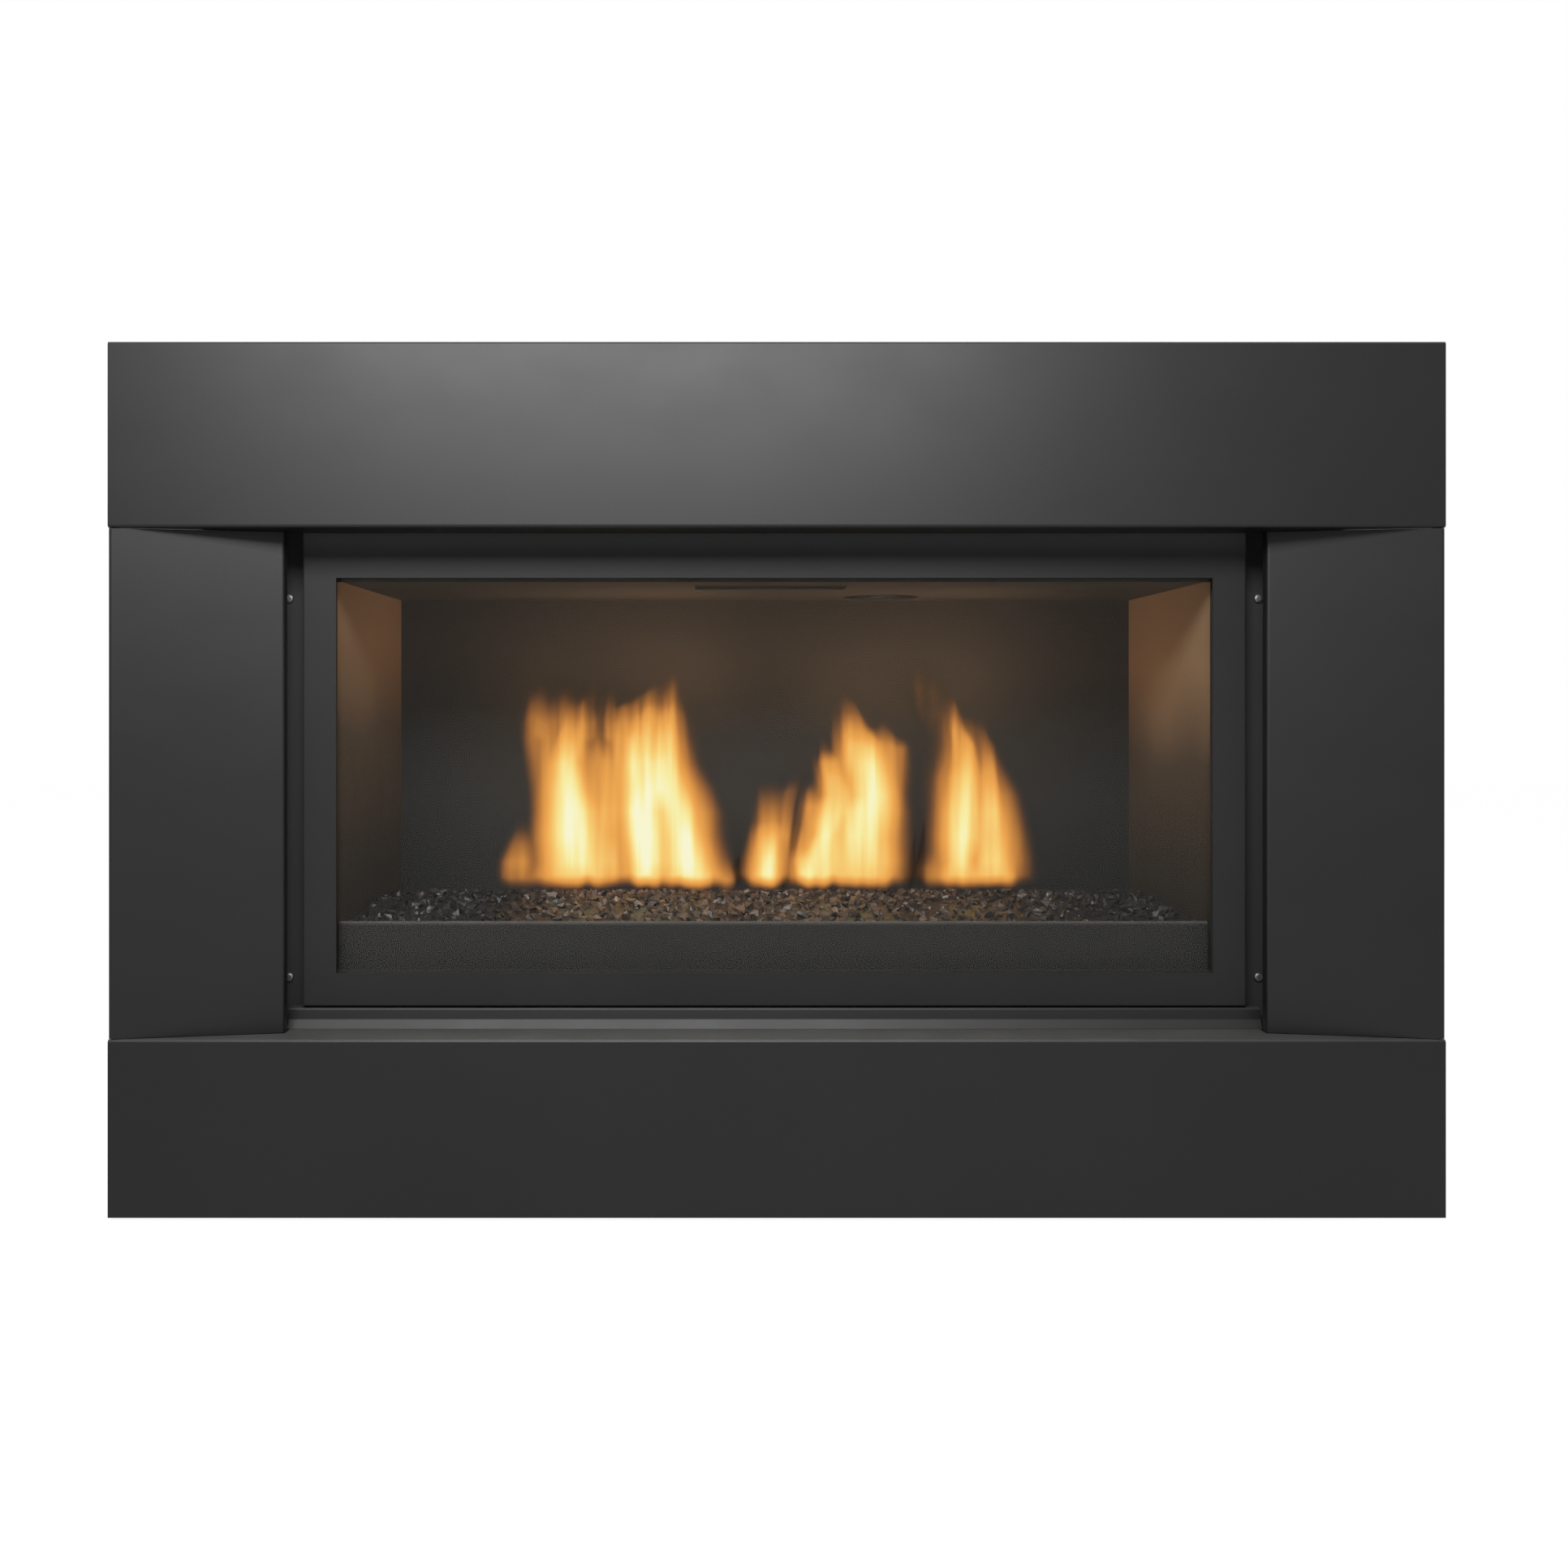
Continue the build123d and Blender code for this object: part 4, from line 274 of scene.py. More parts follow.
def firelight_paint(name, low, high):
    """Heat-proof paint with soot in patches, going from dark to a warm brown towards the top of the firebox:
    painted firelight glow.
    """
    made = material(name, low, 0.6, specular=0.2)
    tree = made.node_tree
    middle = tuple(a + MIDDLE_GLOW * (b - a) for a, b in zip(low, high))
    parts = apart(made, place_on(made))
    rise = tree.nodes.new("ShaderNodeMapRange")
    rise.inputs["From Min"].default_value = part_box("back_liner")[0][2]
    rise.inputs["From Max"].default_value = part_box("back_liner")[1][2]
    tree.links.new(parts["Z"], rise.inputs["Value"])
    soot = texture(made, "ShaderNodeTexNoise", 9.0, stretch=(1.0, 1.0, 0.5), detail=4.0)
    glowing = scaled_sum(made, soot.outputs["Fac"], SOOT_SHARE, rise.outputs["Result"])
    glowing = scaled_sum(made, parts["X"], LEAN_SHARE, glowing)
    # painted light: the fire's warm glow, strongest towards the top and to the right
    colour_from(made, glowing, list(zip(GLOW_SHARES, (low, middle, high))))
    roughness_from(made, soot.outputs["Fac"], 0.52, 0.68)
    grain = texture(made, "ShaderNodeTexNoise", 700.0, detail=2.0)
    relief(made, grain.outputs["Fac"], 0.00003)
    return made


def galvanised_sheet():
    """Zinc-coated sheet with its spangle."""
    made = material("galvanised_sheet", (0.39, 0.40, 0.41), 0.52, metallic=1.0)
    spangle = texture(made, "ShaderNodeTexVoronoi", 150.0, stretch=(1.0, 1.0, 0.8), randomness=1.0)
    colour_from(made, spangle.outputs["Color"], [(0.1, (0.34, 0.35, 0.36)), (0.9, (0.43, 0.44, 0.45))])
    roughness_from(made, spangle.outputs["Color"], 0.46, 0.58)
    handling = texture(made, "ShaderNodeTexNoise", 6.0, detail=4.0)
    relief(made, handling.outputs["Fac"], 0.0008, 0.35)
    return made


def drawn_metal(name, dark, light, roughness, along="X"):
    """Metal with fine lines along one axis, from rolling, drawing or brushing."""
    stretch = {"X": (0.03, 1.0, 1.0), "Y": (1.0, 0.03, 1.0)}[along]
    made = material(name, light, roughness, metallic=1.0)
    lines = texture(made, "ShaderNodeTexNoise", 900.0, stretch=stretch, detail=3.0)
    colour_from(made, lines.outputs["Fac"], [(0.3, dark), (0.7, light)])
    roughness_from(made, lines.outputs["Fac"], roughness - 0.06, roughness + 0.08)
    stain = texture(made, "ShaderNodeTexNoise", 30.0, detail=4.0)
    relief(made, stain.outputs["Fac"], 0.0002, 0.4)
    return made


def moulded(name, base, roughness):
    """Moulded plastic or rubber with a fine spark-eroded grain."""
    made = material(name, base, roughness)
    pits = texture(made, "ShaderNodeTexNoise", 500.0, detail=2.0)
    dark = tuple(channel * 0.85 for channel in base)
    colour_from(made, pits.outputs["Fac"], [(0.35, dark), (0.65, base)])
    roughness_from(made, pits.outputs["Fac"], roughness - 0.04, roughness + 0.06)
    relief(made, pits.outputs["Fac"], 0.00005)
    return made


def woven_rope():
    """Glass-fibre rope, knitted on the bias."""
    made = material("glass_fibre_knit", (0.22, 0.21, 0.20), 0.9)
    weave = texture(made, "ShaderNodeTexVoronoi", 420.0, stretch=(1.0, 1.0, 0.6), randomness=0.3)
    colour_from(made, weave.outputs["Distance"], [(0.1, (0.30, 0.29, 0.27)), (0.6, (0.10, 0.10, 0.095))])
    relief(made, weave.outputs["Distance"], -0.0004)
    return made


def ferrite_block():
    """Sintered magnet with a faint sparkle and chipped corners."""
    made = material("sintered_ferrite", (0.07, 0.07, 0.075), 0.55)
    grit = texture(made, "ShaderNodeTexNoise", 260.0, detail=5.0)
    colour_from(made, grit.outputs["Fac"], [(0.35, (0.05, 0.05, 0.055)), (0.72, (0.13, 0.13, 0.135))])
    relief(made, grit.outputs["Fac"], 0.0001)
    return made


def clear_pane():
    """Ceramic glass: see-through, with a mirror film that grows towards grazing angles and faint dust."""
    made = material("ceramic_pane", (0.9, 0.88, 0.84), 0.04)
    tree = made.node_tree
    shader = tree.nodes["Principled BSDF"]
    clear = tree.nodes.new("ShaderNodeBsdfTransparent")
    clear.inputs["Color"].default_value = (0.97, 0.965, 0.95, 1.0)
    film = tree.nodes.new("ShaderNodeBsdfGlossy")
    film.inputs["Roughness"].default_value = 0.05
    edge = tree.nodes.new("ShaderNodeFresnel")
    edge.inputs["IOR"].default_value = 1.20
    blend = tree.nodes.new("ShaderNodeMixShader")
    tree.links.new(edge.outputs["Fac"], blend.inputs["Fac"])
    tree.links.new(clear.outputs["BSDF"], blend.inputs[1])
    tree.links.new(film.outputs["BSDF"], blend.inputs[2])
    tree.links.new(blend.outputs["Shader"], tree.nodes["Material Output"].inputs["Surface"])
    tree.nodes.remove(shader)
    return made


def broken_glass():
    """Crushed glass and stone: satin faces, charcoal chips browned by painted firelight, by a random amount
    from chip to chip.
    """
    made = material("crushed_chips", (0.05, 0.04, 0.034), 0.4, specular=0.36)
    chip = made.node_tree.nodes.new("ShaderNodeAttribute")
    chip.attribute_name = "tone"
    # painted firelight: the brown of the chips near the flames
    colour_from(made, chip.outputs["Fac"], [(0.0, (0.008, 0.008, 0.008)), (0.55, (0.066, 0.042, 0.029)),
                                            (0.85, (0.118, 0.073, 0.048)), (1.0, (0.158, 0.112, 0.082))])
    facets = texture(made, "ShaderNodeTexNoise", 330.0, detail=3.0)
    roughness_from(made, facets.outputs["Fac"], 0.30, 0.58)
    relief(made, facets.outputs["Fac"], 0.0005)
    return made


def flame_light():
    """Burning gas: its own light, brightest and palest where the sheet's heat is highest."""
    made = material("burning_gas", (0.0, 0.0, 0.0), 1.0, specular=0.0)
    tree = made.node_tree
    shader = tree.nodes["Principled BSDF"]
    heat = tree.nodes.new("ShaderNodeAttribute")
    heat.attribute_name = "burning"
    colour_from(made, heat.outputs["Fac"], FIRE_COLOURS, "Emission Color")
    shader.inputs["Emission Strength"].default_value = 1.0
    tree.links.new(smooth_share(made, heat.outputs["Fac"], *FIRE_SHOWS), shader.inputs["Alpha"])
    made.cycles.emission_sampling = "NONE"
    return made


def finish_nodes():
    """Every node of the model gets the finish of its material slot; a few have a finish of their own."""
    by_slot = {
        # film: painted light from above on the faces that look up
        "satin_black": powder_coat("satin_powder_coat", 0.0045, 0.46, 0.24, film=0.036),
        "frame_black": frame_coat(),
        "firebox_black": powder_coat("firebox_paint", 0.012, 0.62, 0.12, warmth=0.02, film=0.05),
        "galvanised": galvanised_sheet(),
        "stainless": drawn_metal("stainless_steel", (0.42, 0.41, 0.39), (0.58, 0.57, 0.55), 0.34),
        "bright_steel": drawn_metal("zinc_plated_steel", (0.50, 0.50, 0.49), (0.72, 0.72, 0.71), 0.28, "Y"),
        "ceramic_glass": clear_pane(),
        "glass_fibre_rope": woven_rope(),
        "crushed_media": broken_glass(),
        "aluminium": drawn_metal("mill_aluminium", (0.58, 0.59, 0.60), (0.76, 0.77, 0.78), 0.38),
        "brass": drawn_metal("turned_brass", (0.55, 0.40, 0.16), (0.74, 0.57, 0.27), 0.28),
        "black_plastic": moulded("black_moulding", (0.022, 0.022, 0.023), 0.42),
        "red_plastic": moulded("red_moulding", (0.42, 0.035, 0.025), 0.36),
        "lead_sleeve": moulded("silicone_sleeve", (0.035, 0.035, 0.037), 0.55),
        "ferrite": ferrite_block(),
        "motor_grey": powder_coat("motor_enamel", 0.05, 0.4, 0.5),
    }
    blackened = drawn_metal("blackened_steel", (0.020, 0.020, 0.021), (0.036, 0.036, 0.037), 0.48)
    own = {
        # painted firelight glow on the liners and the ceiling, towards their tops
        "side_liners": firelight_paint("side_liner_paint", (0.015, 0.0145, 0.013), (0.140, 0.094, 0.058)),
        "back_liner": firelight_paint("back_liner_paint", (0.0055, 0.0059, 0.0058), (0.0245, 0.0200, 0.0160)),
        "firebox_top": firelight_paint("ceiling_paint", (0.0146, 0.0140, 0.0132), (0.0330, 0.0290, 0.0262)),
        "firebox_front_frame": powder_coat("front_plate_paint", 0.020, 0.62, 0.13),
        # film: painted light from above on the sill's faces that look up
        "sill": powder_coat("sill_powder_coat", 0.0045, 0.46, 0.20, film=0.018),
        "exhaust_collar": drawn_metal("heat_stained_steel", (0.095, 0.08, 0.066), (0.17, 0.145, 0.12), 0.5),
        "hinge_pins": blackened,
        "door_pin_brackets": blackened,
        "door_catch_clips": blackened,
        "front_frame_screws": drawn_metal("dull_zinc", (0.12, 0.12, 0.12), (0.18, 0.18, 0.175), 0.5, "Y"),
    }
    for part in frame["record"]["subparts"]:
        name = part["node"]
        finish = own.get(name, by_slot[part["material_slot"]])
        piece = nodes[name]
        if not piece.material_slots:
            piece.data.materials.append(finish)
        for index in range(len(piece.material_slots)):
            piece.material_slots[index].material = finish
    return by_slot


# ---------------------------------------------------------------- crushed media
CHIP_PITCH = 0.0102          # mean distance between chips
CHIP_RADIUS = (0.0046, 0.0078)
CHIP_CORNERS = 9
CHIP_KINDS = 10
CHIP_SEED = 7
CHIP_SUNK = ((1.0, 0.75), (1.25, 0.15))   # lower and upper chips: pitch as a share, depth in radii
BED_DROP = 0.006             # dark layer under the top chips
BED_INSET = 0.001            # that layer inside the media's ends
BED_FRONT = ((0.0, 0.010), (0.030, 0.005), (0.0932, 0.0))   # behind the front edge, below the crest
BED_BACK = ((0.043, 0.0), (0.0, 0.007))   # before the back edge, below the crest
END_SLOPE = 8.0 / 233.0      # how the ends of the tray close in towards the back
PILOT_ROOM = (0.003, 0.004)  # sideways and lengthways, between pilot and media
FIRELIGHT_X = (-0.240, -0.175, 0.04, 0.30)   # x where the chips' painted firelight begins, is full, starts to fade, ends
FIRELIGHT_TONE = (0.0, 1.0, 0.85, 0.0)     # how strongly the painted firelight browns them there


def bed_profile():
    """Heap of the media from front to back, as (y, z) pairs along the top of its solid."""
    low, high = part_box("media_bed")
    return ([(low[1] + depth, high[2] - drop) for depth, drop in BED_FRONT]
            + [(high[1] - depth, high[2] - drop) for depth, drop in BED_BACK])


def bed_height(y):
    """Height of the heap at a depth."""
    profile = bed_profile()
    return np.interp(y, [p[0] for p in profile], [p[1] for p in profile])


def bed_half(y):
    """Half of the media's width at a depth."""
    low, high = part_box("media_bed")
    return high[0] - END_SLOPE * (y - low[1])


def pilot_space():
    """(x0, x1, y0, y1) of the space round the pilot, which holds no media."""
    low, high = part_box("pilot_burner")
    side, end = PILOT_ROOM
    return low[0] - side, high[0] + side, low[1] - end, high[1] + end


def shard(random):
    """One sharp-edged chip of unit size, as vertices and triangles."""
    points = random.normal(size=(CHIP_CORNERS, 3))
    points /= np.linalg.norm(points, axis=1)[:, None]
    points *= random.uniform(0.75, 1.0, size=(CHIP_CORNERS, 1))
    mesh = bmesh.new()
    for point in points:
        mesh.verts.new(point)
    hull = bmesh.ops.convex_hull(mesh, input=mesh.verts)
    spare = [v for v in hull["geom_interior"] if isinstance(v, bmesh.types.BMVert)]
    bmesh.ops.delete(mesh, geom=spare, context="VERTS")
    bmesh.ops.triangulate(mesh, faces=mesh.faces)
    mesh.verts.index_update()
    vertices = np.array([v.co for v in mesh.verts])
    faces = np.array([[v.index for v in f.verts] for f in mesh.faces])
    mesh.free()
    return vertices, faces


def turn(random):
    """Random rotation matrix."""
    q = random.normal(size=4)
    a, b, c, d = q / np.linalg.norm(q)
    return np.array([[1 - 2 * (c * c + d * d), 2 * (b * c - a * d), 2 * (b * d + a * c)],
                     [2 * (b * c + a * d), 1 - 2 * (b * b + d * d), 2 * (c * d - a * b)],
                     [2 * (b * d - a * c), 2 * (c * d + a * b), 1 - 2 * (b * b + c * c)]])


def chip_places(random):
    """Middles of the chips: a jittered grid over the bed, and a second, sparser one on top."""
    low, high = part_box("media_bed")
    x0, x1, y0, y1 = pilot_space()
    edge = CHIP_RADIUS[1]
    places = []
    for share, sunk in CHIP_SUNK:
        pitch = CHIP_PITCH * share
        for x in np.arange(low[0] + edge, high[0] - edge, pitch):
            for y in np.arange(low[1] + edge * 0.5, high[1] - edge, pitch):
                x_here = x + random.uniform(-0.5, 0.5) * pitch
                y_here = y + random.uniform(-0.5, 0.5) * pitch
                y_here = min(max(y_here, low[1] + edge * 0.5), high[1] - edge)
                reach = bed_half(y_here) - edge
                x_here = min(max(x_here, -reach), reach)
                if x0 < x_here < x1 and y0 < y_here < y1:
                    continue
                places.append((x_here, y_here, sunk))
    return places


def bed_layer():
    """Dark layer below the top chips, as vertices and triangles, open round the pilot."""
    x0, x1, y0, y1 = pilot_space()
    along = sorted([p[0] for p in bed_profile()] + [y0, y1])
    vertices = []
    for y in along:
        reach = bed_half(y) - BED_INSET
        vertices += [(x, y, float(bed_height(y)) - BED_DROP) for x in (-reach, x0, x1, reach)]
    triangles = []
    for row in range(len(along) - 1):
        for column in range(3):
            if column == 1 and y0 <= along[row] < y1:
                continue
            a = row * 4 + column
            b = a + 4
            triangles += [(a, a + 1, b + 1), (a, b + 1, b)]
    return np.array(vertices), np.array(triangles)


def mesh_object(name, vertices, triangles, finish, attribute, values):
    """New object from vertices and triangles, with a named value at each vertex."""
    mesh = bpy.data.meshes.new(name)
    mesh.from_pydata(vertices.tolist(), [], triangles.tolist())
    mesh.materials.append(finish)
    made = bpy.data.objects.new(name, mesh)
    bpy.context.scene.collection.objects.link(made)
    mesh.attributes.new(attribute, "FLOAT", "POINT").data.foreach_set("value", values.astype(np.float32))
    return made


def crushed_media(finish):
    """Chips over the burner, as one piece that stands for the media's solid."""
    random = np.random.default_rng(CHIP_SEED)
    kinds = [shard(random) for _ in range(CHIP_KINDS)]
    layer, faces = bed_layer()
    vertices, triangles, tones = [layer], [faces], [np.zeros(len(layer))]
    count = len(layer)
    for x, y, sunk in chip_places(random):
        shape, corners = kinds[random.integers(CHIP_KINDS)]
        size = random.uniform(*CHIP_RADIUS) * random.uniform(0.7, 1.0, size=3)
        placed = (shape * size) @ turn(random).T
        top = float(bed_height(y)) - sunk * CHIP_RADIUS[1] * random.uniform(0.5, 1.0)
        placed += (x, y, top - placed[:, 2].max())
        vertices.append(placed)
        triangles.append(corners + count)
        # painted firelight: each chip's random tone, full near the flames and gone at the ends
        tones.append(np.full(len(placed), random.beta(1.6, 2.4) * np.interp(x, FIRELIGHT_X, FIRELIGHT_TONE)))
        count += len(placed)
    chips = mesh_object("crushed_chips", np.vstack(vertices), np.vstack(triangles), finish,
                        "tone", np.concatenate(tones))
    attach(chips, "root")
    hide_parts("media_bed")


# ---------------------------------------------------------------- flames
# Each tongue is a list of (height, middle, half-width, heat) from the media upwards, the first three in mm.
LEFT_FIRE = (
    ((250, -184, 36, 0.45), (268, -180, 33, 0.50), (291, -180, 33, 0.52), (314, -180, 31, 0.50),
     (336, -180, 32, 0.47), (359, -182, 34, 0.42), (382, -192, 31, 0.35), (397, -193, 32, 0.30),
     (412, -193, 32, 0.17), (427, -193, 30, 0.06), (440, -193, 28, 0.02)),
    ((250, -177, 26, 0.60), (257, -177, 26, 0.74), (268, -178, 25, 0.88), (291, -180, 23, 0.95),
     (314, -181, 21, 0.96), (336, -185, 17, 0.90), (359, -187, 13, 0.78), (382, -183, 11, 0.50),
     (397, -180, 9, 0.28), (412, -178, 7, 0.12)),
    ((250, -149, 11, 0.52), (268, -149, 10, 0.60), (291, -150, 9, 0.48), (314, -150, 10, 0.50),
     (336, -150, 9, 0.42), (359, -152, 8, 0.33), (382, -157, 7, 0.18), (397, -158, 6, 0.06)),
    ((250, -96, 54, 0.50), (268, -98, 51, 0.60), (291, -101, 48, 0.60), (314, -102, 47, 0.60),
     (336, -106, 43, 0.60), (359, -111, 38, 0.58), (382, -114, 36, 0.50), (397, -113, 34, 0.42),
     (412, -113, 31, 0.27), (427, -100, 18, 0.16), (443, -92, 10, 0.06), (455, -90, 6, 0.02)),
    ((250, -114, 15, 0.80), (268, -113, 16, 0.94), (291, -115, 18, 1.00), (314, -117, 19, 0.98),
     (336, -112, 22, 0.92), (359, -110, 25, 0.82), (382, -110, 25, 0.58), (397, -108, 20, 0.40),
     (412, -106, 14, 0.22)),
    ((250, -71, 25, 0.75), (257, -73, 25, 0.85), (268, -76, 22, 0.92), (291, -79, 18, 0.93),
     (314, -83, 17, 0.88), (336, -90, 16, 0.80), (359, -94, 14, 0.66), (382, -94, 11, 0.50),
     (397, -94, 9, 0.36), (415, -92, 8, 0.18), (432, -88, 6, 0.08)),
    ((250, -232, 15, 0.28), (268, -231, 14, 0.36), (285, -228, 11, 0.26), (298, -227, 8, 0.14),
     (312, -226, 5, 0.03)),
    ((397, -209, 6, 0.30), (412, -209, 6, 0.22), (427, -209, 5, 0.13), (445, -210, 3, 0.05),
     (460, -210, 2, 0.02)),
    ((397, -169, 7, 0.30), (412, -171, 7, 0.22), (427, -166, 4, 0.12), (445, -165, 3, 0.04)),
    ((397, -149, 6, 0.32), (412, -149, 5, 0.24), (427, -149, 4, 0.12), (442, -149, 2, 0.03)),
    ((250, -40, 10, 0.36), (262, -40, 7, 0.24), (275, -40, 4, 0.08)),
)
SMALL_FIRE = (
    ((243, -1, 13, 0.85), (257, -2, 14, 0.93), (268, -1, 14, 0.88), (282, 0, 13, 0.72),
     (291, 1, 13, 0.58), (305, 3, 13, 0.36), (318, 4, 14, 0.27), (329, 4, 15, 0.18), (340, 2, 14, 0.09),
     (350, 0, 10, 0.03)),
    ((250, 14, 6, 0.28), (268, 14, 6, 0.30), (291, 16, 6, 0.38), (305, 18, 6, 0.30), (318, 20, 6, 0.24),
     (332, 22, 7, 0.20), (344, 26, 7, 0.10), (352, 30, 5, 0.04)),
)
MIDDLE_FIRE = (
    ((250, 86, 26, 0.62), (268, 88, 28, 0.74), (291, 88, 24, 0.84), (314, 92, 24, 0.88),
     (329, 96, 20, 0.87), (344, 94, 19, 0.82), (359, 90, 18, 0.78), (374, 86, 16, 0.66),
     (389, 82, 13, 0.42), (405, 77, 9, 0.22), (420, 71, 5, 0.10), (432, 69, 3, 0.03)),
    ((250, 50, 17, 0.75), (257, 48, 20, 0.82), (268, 49, 19, 0.85), (291, 54, 12, 0.87),
     (305, 57, 14, 0.78), (314, 60, 14, 0.72), (329, 64, 12, 0.62), (344, 62, 10, 0.55),
     (359, 58, 9, 0.35), (370, 55, 6, 0.15), (385, 53, 3, 0.04)),
    ((250, 76, 46, 0.50), (268, 76, 46, 0.52), (291, 80, 42, 0.55), (314, 84, 38, 0.55),
     (329, 87, 35, 0.50), (344, 88, 36, 0.45), (359, 90, 35, 0.42), (374, 98, 28, 0.36),
     (385, 100, 20, 0.22), (395, 98, 12, 0.08)),
    ((247, 36, 10, 0.72), (257, 34, 9, 0.74), (268, 32, 8, 0.62), (280, 32, 6, 0.40), (300, 38, 7, 0.36),
     (318, 42, 8, 0.40), (330, 42, 7, 0.26), (342, 42, 5, 0.08)),
)
RIGHT_FIRE = (
    ((250, 178, 20, 0.62), (268, 178, 14, 0.80), (291, 180, 18, 0.90), (314, 181, 18, 0.86),
     (329, 182, 16, 0.80), (344, 183, 15, 0.72), (359, 184, 13, 0.58), (374, 183, 12, 0.46),
     (389, 178, 9, 0.36), (405, 174, 7, 0.20), (418, 170, 6, 0.09), (432, 165, 4, 0.03)),
    ((250, 210, 20, 0.64), (268, 209, 16, 0.74), (291, 209, 14, 0.64), (314, 209, 11, 0.66),
     (329, 208, 9, 0.56), (344, 207, 8, 0.45), (359, 207, 7, 0.33), (374, 205, 6, 0.22),
     (389, 201, 6, 0.15), (402, 200, 4, 0.05)),
    ((250, 196, 46, 0.34), (268, 196, 44, 0.42), (291, 196, 40, 0.45), (314, 195, 37, 0.44),
     (329, 193, 36, 0.42), (344, 190, 34, 0.36), (359, 188, 30, 0.31), (374, 186, 27, 0.25),
     (389, 180, 22, 0.20), (405, 172, 16, 0.13), (420, 166, 10, 0.07), (435, 160, 7, 0.03)),
    ((250, 152, 9, 0.30), (262, 151, 8, 0.28), (275, 150, 5, 0.12)),
    ((385, 160, 12, 0.08), (405, 152, 15, 0.12), (430, 147, 16, 0.12), (448, 147, 13, 0.07),
     (462, 148, 8, 0.01)),
)
FIRES = {"flames_left": LEFT_FIRE, "flame_small": SMALL_FIRE, "flames_middle": MIDDLE_FIRE,
         "flames_right": RIGHT_FIRE}
FLAME_CELL = 0.0022          # grid of a flame's sheet
FLAME_MERGE = 3.2            # the larger, the less two tongues that overlap add to each other's heat
FLAME_MARGIN = 0.022         # sheet beyond its outermost tongue, to the sides
FLAME_ROOM = 0.012           # and above its highest
FLAME_LAYERS = ((-0.010, 1.0, 0.0), (0.002, 0.50, 0.007), (0.014, 0.40, -0.006))   # depth, heat, drift in x
FLAME_FOOT = (0.2395, 0.2545)   # heat rises from nothing to full between these heights
FLAME_RAGGED = 0.004         # how unevenly it does so
FLAME_SPREAD = 1.12          # how far a tongue's heat reaches, as a share of its half-width
FLAME_EDGE = ((0.5, 0.9), (4.4, 2.2))   # heat, and how sharply a tongue with that heat ends sideways
FLAME_TIP = 0.008            # height over which a tongue ends above its last point
FLAME_ROOT = 0.012           # and below its first
FLAME_SWAY = 0.007           # slow wander to the sides
FLAME_TEAR = 0.010           # uneven height of the tips
FLAME_HIGH = (0.33, 0.08)    # height where the tips begin to tear, and over which they come to do so fully
FLAME_WANDER = (0.27, 0.12)  # the same for the wander
FLAME_STREAK = (0.12, 0.22)  # streaks low down, and how much stronger they are higher up
COLDEST = 0.012              # heat below which a sheet is left open


def tongue_heat(tongue, x, z):
    """Heat of one tongue at points x, z: full in its middle, gone past its edge."""
    heights, middles, halves, heats = (np.array(column) for column in zip(*tongue))
    middle = np.interp(z, heights / 1000, middles / 1000)
    half = np.interp(z, heights / 1000, halves / 1000)
    heat = np.interp(z, heights / 1000, heats)
    past_tip = np.clip((z - heights[-1] / 1000) / FLAME_TIP, 0, 1)
    under = np.clip((heights[0] / 1000 - FLAME_ROOT - z) / FLAME_ROOT, 0, 1)
    across = np.exp(-np.abs((x - middle) / (half * FLAME_SPREAD)) ** np.interp(heat, *FLAME_EDGE))
    return heat * across * (1 - past_tip) * (1 - under)


def noise_over(x, z, fine_x, fine_z, seed):
    """Noise at points x, z, so many cells to the metre each way."""
    return np.array([noise.noise((a * fine_x, b * fine_z, seed)) for a, b in zip(x, z)])


def flame_heat(tongues, x, z, seed):
    """Heat of a group of tongues, with streaks that run upwards and torn tips."""
    high = np.clip((z - FLAME_HIGH[0]) / FLAME_HIGH[1], 0, 1)
    wander = np.clip((z - FLAME_WANDER[0]) / FLAME_WANDER[1], 0, 1)
    x_here = x + FLAME_SWAY * noise_over(x, z, 16, 9, seed) * wander
    z_here = z + FLAME_TEAR * noise_over(x, z, 75, 6, seed + 9) * high
    total = np.zeros_like(x)
    for tongue in tongues:
        total += np.clip(tongue_heat(tongue, x_here, z_here), 0, 1) ** FLAME_MERGE
    streak = noise_over(x, z, 140, 10, seed + 5) + 0.5 * noise_over(x, z, 400, 20, seed)
    streak *= FLAME_STREAK[0] + FLAME_STREAK[1] * high
    ragged = FLAME_RAGGED * noise_over(x, np.full_like(x, 3.0), 90, 1, seed)
    foot = np.clip((z - FLAME_FOOT[0] + ragged) / (FLAME_FOOT[1] - FLAME_FOOT[0]), 0, 1)
    return np.clip(total ** (1 / FLAME_MERGE) * (1 + streak) * foot, 0, 1)


def fire_depth():
    """Depth of the row of flames: the middle of the burner."""
    low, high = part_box("burner_tube")
    return (low[1] + high[1]) / 2


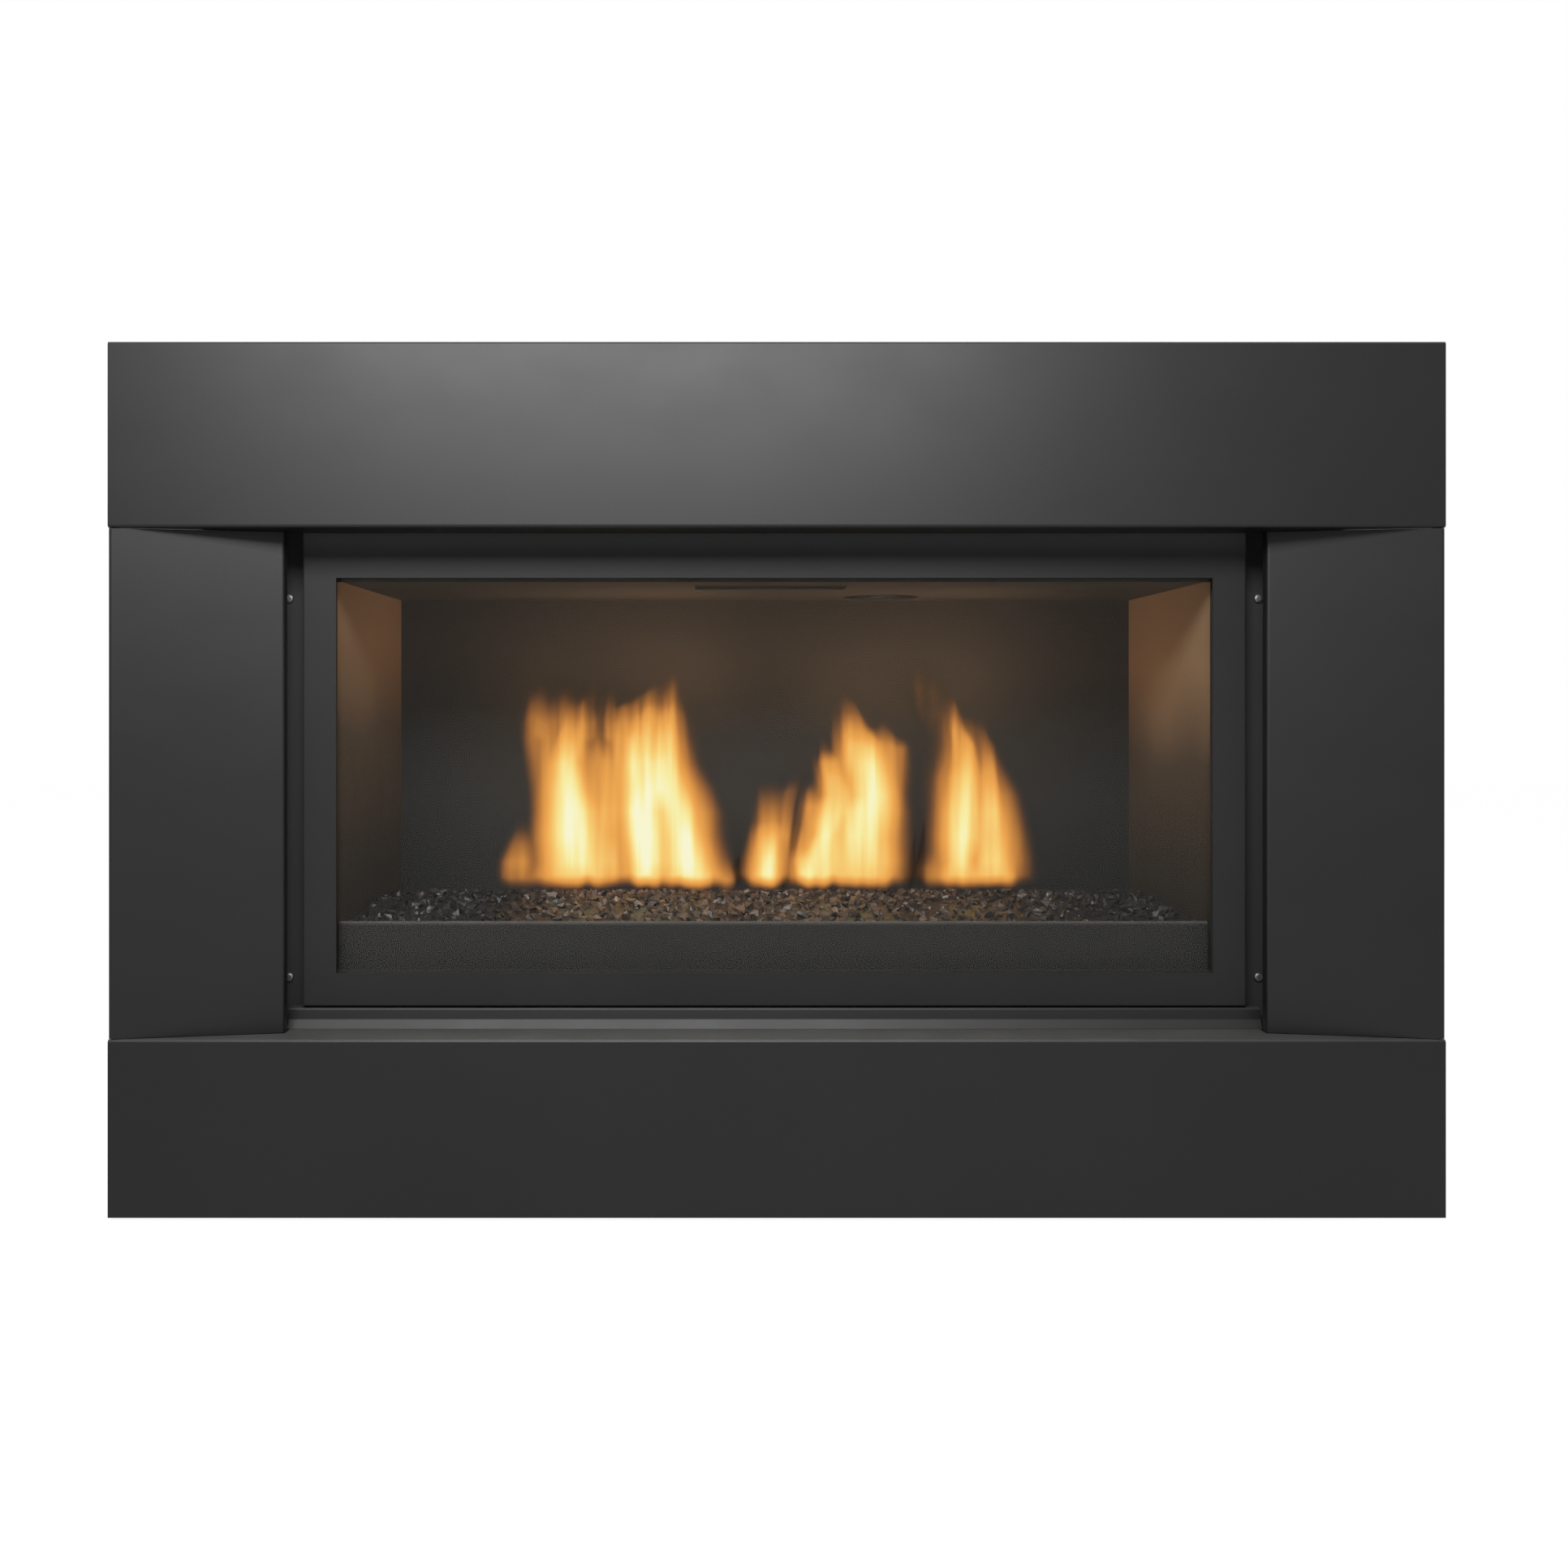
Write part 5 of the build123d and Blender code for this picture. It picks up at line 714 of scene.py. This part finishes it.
def flame_sheet(name, tongues, finish):
    """One group of flames: curved see-through sheets, one behind another, with the heat at each point."""
    values = np.array([point for tongue in tongues for point in tongue]) / 1000
    x0 = (values[:, 1] - values[:, 2]).min() - FLAME_MARGIN
    x1 = (values[:, 1] + values[:, 2]).max() + FLAME_MARGIN
    z0, z1 = FLAME_FOOT[0], values[:, 0].max() + FLAME_ROOM
    columns = int((x1 - x0) / FLAME_CELL)
    rows = int((z1 - z0) / FLAME_CELL)
    grid_x, grid_z = np.meshgrid(np.linspace(x0, x1, columns), np.linspace(z0, z1, rows))
    x, z = grid_x.ravel(), grid_z.ravel()
    vertices, triangles, heats = [], [], []
    for number, (depth, share, drift) in enumerate(FLAME_LAYERS):
        heat = share * flame_heat(tongues, x + drift, z, 10.0 * number + x0)
        bow = 0.008 * np.sin(x * 34) + 0.012 * np.clip(z - 0.30, 0, 1) / 0.15
        y = fire_depth() + depth + bow
        hot = (heat > COLDEST).reshape(rows, columns)
        keep = hot[:-1, :-1] | hot[1:, :-1] | hot[:-1, 1:] | hot[1:, 1:]
        row, column = np.nonzero(keep)
        a = row * columns + column + number * len(x)
        b = a + columns
        triangles.append(np.column_stack([a, a + 1, b + 1]))
        triangles.append(np.column_stack([a, b + 1, b]))
        vertices.append(np.column_stack([x, y, z]))
        heats.append(heat)
    vertices, triangles, heats = np.vstack(vertices), np.vstack(triangles), np.concatenate(heats)
    used, triangles = np.unique(triangles, return_inverse=True)
    flame = mesh_object(name, vertices[used], triangles.reshape(-1, 3), finish, "burning", heats[used])
    flame.data.shade_smooth()
    flame.visible_shadow = False
    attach(flame, "root")


# ---------------------------------------------------------------- floor, light and camera
def white_stage():
    """Pale floor that keeps the object's shadow, under plain white surroundings."""
    bpy.ops.mesh.primitive_plane_add(size=16.0, location=(0.0, 0.0, cad_box[0][2]))
    floor = bpy.context.object
    floor.name = "studio_floor"
    made = bpy.data.materials.new("studio_floor_paint")
    made.use_nodes = True
    tree = made.node_tree
    tree.nodes.clear()
    paint = tree.nodes.new("ShaderNodeBsdfDiffuse")
    paint.inputs["Color"].default_value = (0.85, 0.85, 0.85, 1.0)
    white = tree.nodes.new("ShaderNodeEmission")
    white.inputs["Strength"].default_value = STAGE_LIFT
    blend = tree.nodes.new("ShaderNodeMixShader")
    share = tree.nodes.new("ShaderNodeMath")
    share.operation = "MULTIPLY"
    share.inputs[1].default_value = STAGE_WHITE
    tree.links.new(seen_directly(tree), share.inputs[0])
    tree.links.new(share.outputs["Value"], blend.inputs["Fac"])
    tree.links.new(paint.outputs["BSDF"], blend.inputs[1])
    tree.links.new(white.outputs["Emission"], blend.inputs[2])
    output = tree.nodes.new("ShaderNodeOutputMaterial")
    tree.links.new(blend.outputs["Shader"], output.inputs["Surface"])
    floor.data.materials.append(made)


def seen_directly(tree):
    """1 for camera, mirror and glass rays, else 0."""
    path = tree.nodes.new("ShaderNodeLightPath")
    seen = path.outputs["Is Camera Ray"]
    for kind in ("Is Glossy Ray", "Is Transmission Ray"):
        either = tree.nodes.new("ShaderNodeMath")
        either.operation = "MAXIMUM"
        tree.links.new(seen, either.inputs[0])
        tree.links.new(path.outputs[kind], either.inputs[1])
        seen = either.outputs["Value"]
    return seen


def white_world():
    """Plain surroundings: white to look at and in reflections, a soft fill otherwise."""
    world = bpy.data.worlds.new("plain_surroundings")
    bpy.context.scene.world = world
    world.use_nodes = True
    tree = world.node_tree
    strength = tree.nodes.new("ShaderNodeMapRange")
    strength.inputs["To Min"].default_value = WORLD_LIGHT
    strength.inputs["To Max"].default_value = 1.0
    tree.links.new(seen_directly(tree), strength.inputs["Value"])
    background = tree.nodes["Background"]
    background.inputs["Color"].default_value = (1.0, 1.0, 1.0, 1.0)
    tree.links.new(strength.outputs["Result"], background.inputs["Strength"])


def soft_lamp(name, place, aim, size, power):
    """Soft box that looks at a point."""
    lamp = bpy.data.lights.new(name, "AREA")
    lamp.shape = "RECTANGLE"
    lamp.size, lamp.size_y = size
    lamp.energy = power
    made = bpy.data.objects.new(name, lamp)
    made.location = place
    made.rotation_euler = (Vector(aim) - Vector(place)).to_track_quat("-Z", "Y").to_euler()
    made.visible_camera = False
    bpy.context.scene.collection.objects.link(made)


def fire_lamps():
    """Small warm lamps inside the flames, which light the firebox and the media."""
    for number, (x, z) in enumerate(GLOW_PLACES):
        lamp = bpy.data.lights.new(f"fire_glow_{number}", "POINT")
        lamp.color = GLOW_COLOUR
        lamp.energy = GLOW_POWER
        lamp.shadow_soft_size = 0.035
        made = bpy.data.objects.new(lamp.name, lamp)
        made.location = (x, fire_depth(), z)
        made.visible_camera = False
        made.visible_glossy = False
        bpy.context.scene.collection.objects.link(made)


def photo_camera():
    """Camera square on to the insert, as in the photograph."""
    lens = bpy.data.cameras.new("photo_camera")
    lens.lens = LENS
    lens.sensor_width = SENSOR
    lens.sensor_fit = "HORIZONTAL"
    lens.shift_x, lens.shift_y = CAMERA_SHIFT
    made = bpy.data.objects.new("photo_camera", lens)
    made.location = CAMERA_PLACE
    made.rotation_euler = (math.pi / 2, 0.0, 0.0)
    bpy.context.scene.collection.objects.link(made)
    bpy.context.scene.camera = made


# ---------------------------------------------------------------- the whole scene
finishes = finish_nodes()
crushed_media(finishes["crushed_media"])
burning_gas = flame_light()
for fire, tongues in FIRES.items():
    flame_sheet(fire, tongues, burning_gas)
white_stage()
white_world()
soft_lamp("key_light", KEY_PLACE, KEY_AIM, KEY_SIZE, KEY_POWER)
soft_lamp("top_light", TOP_PLACE, TOP_AIM, TOP_SIZE, TOP_POWER)
soft_lamp("rear_light", REAR_PLACE, REAR_AIM, REAR_SIZE, REAR_POWER)
fire_lamps()
photo_camera()
bpy.context.scene.view_settings.view_transform = "Standard"
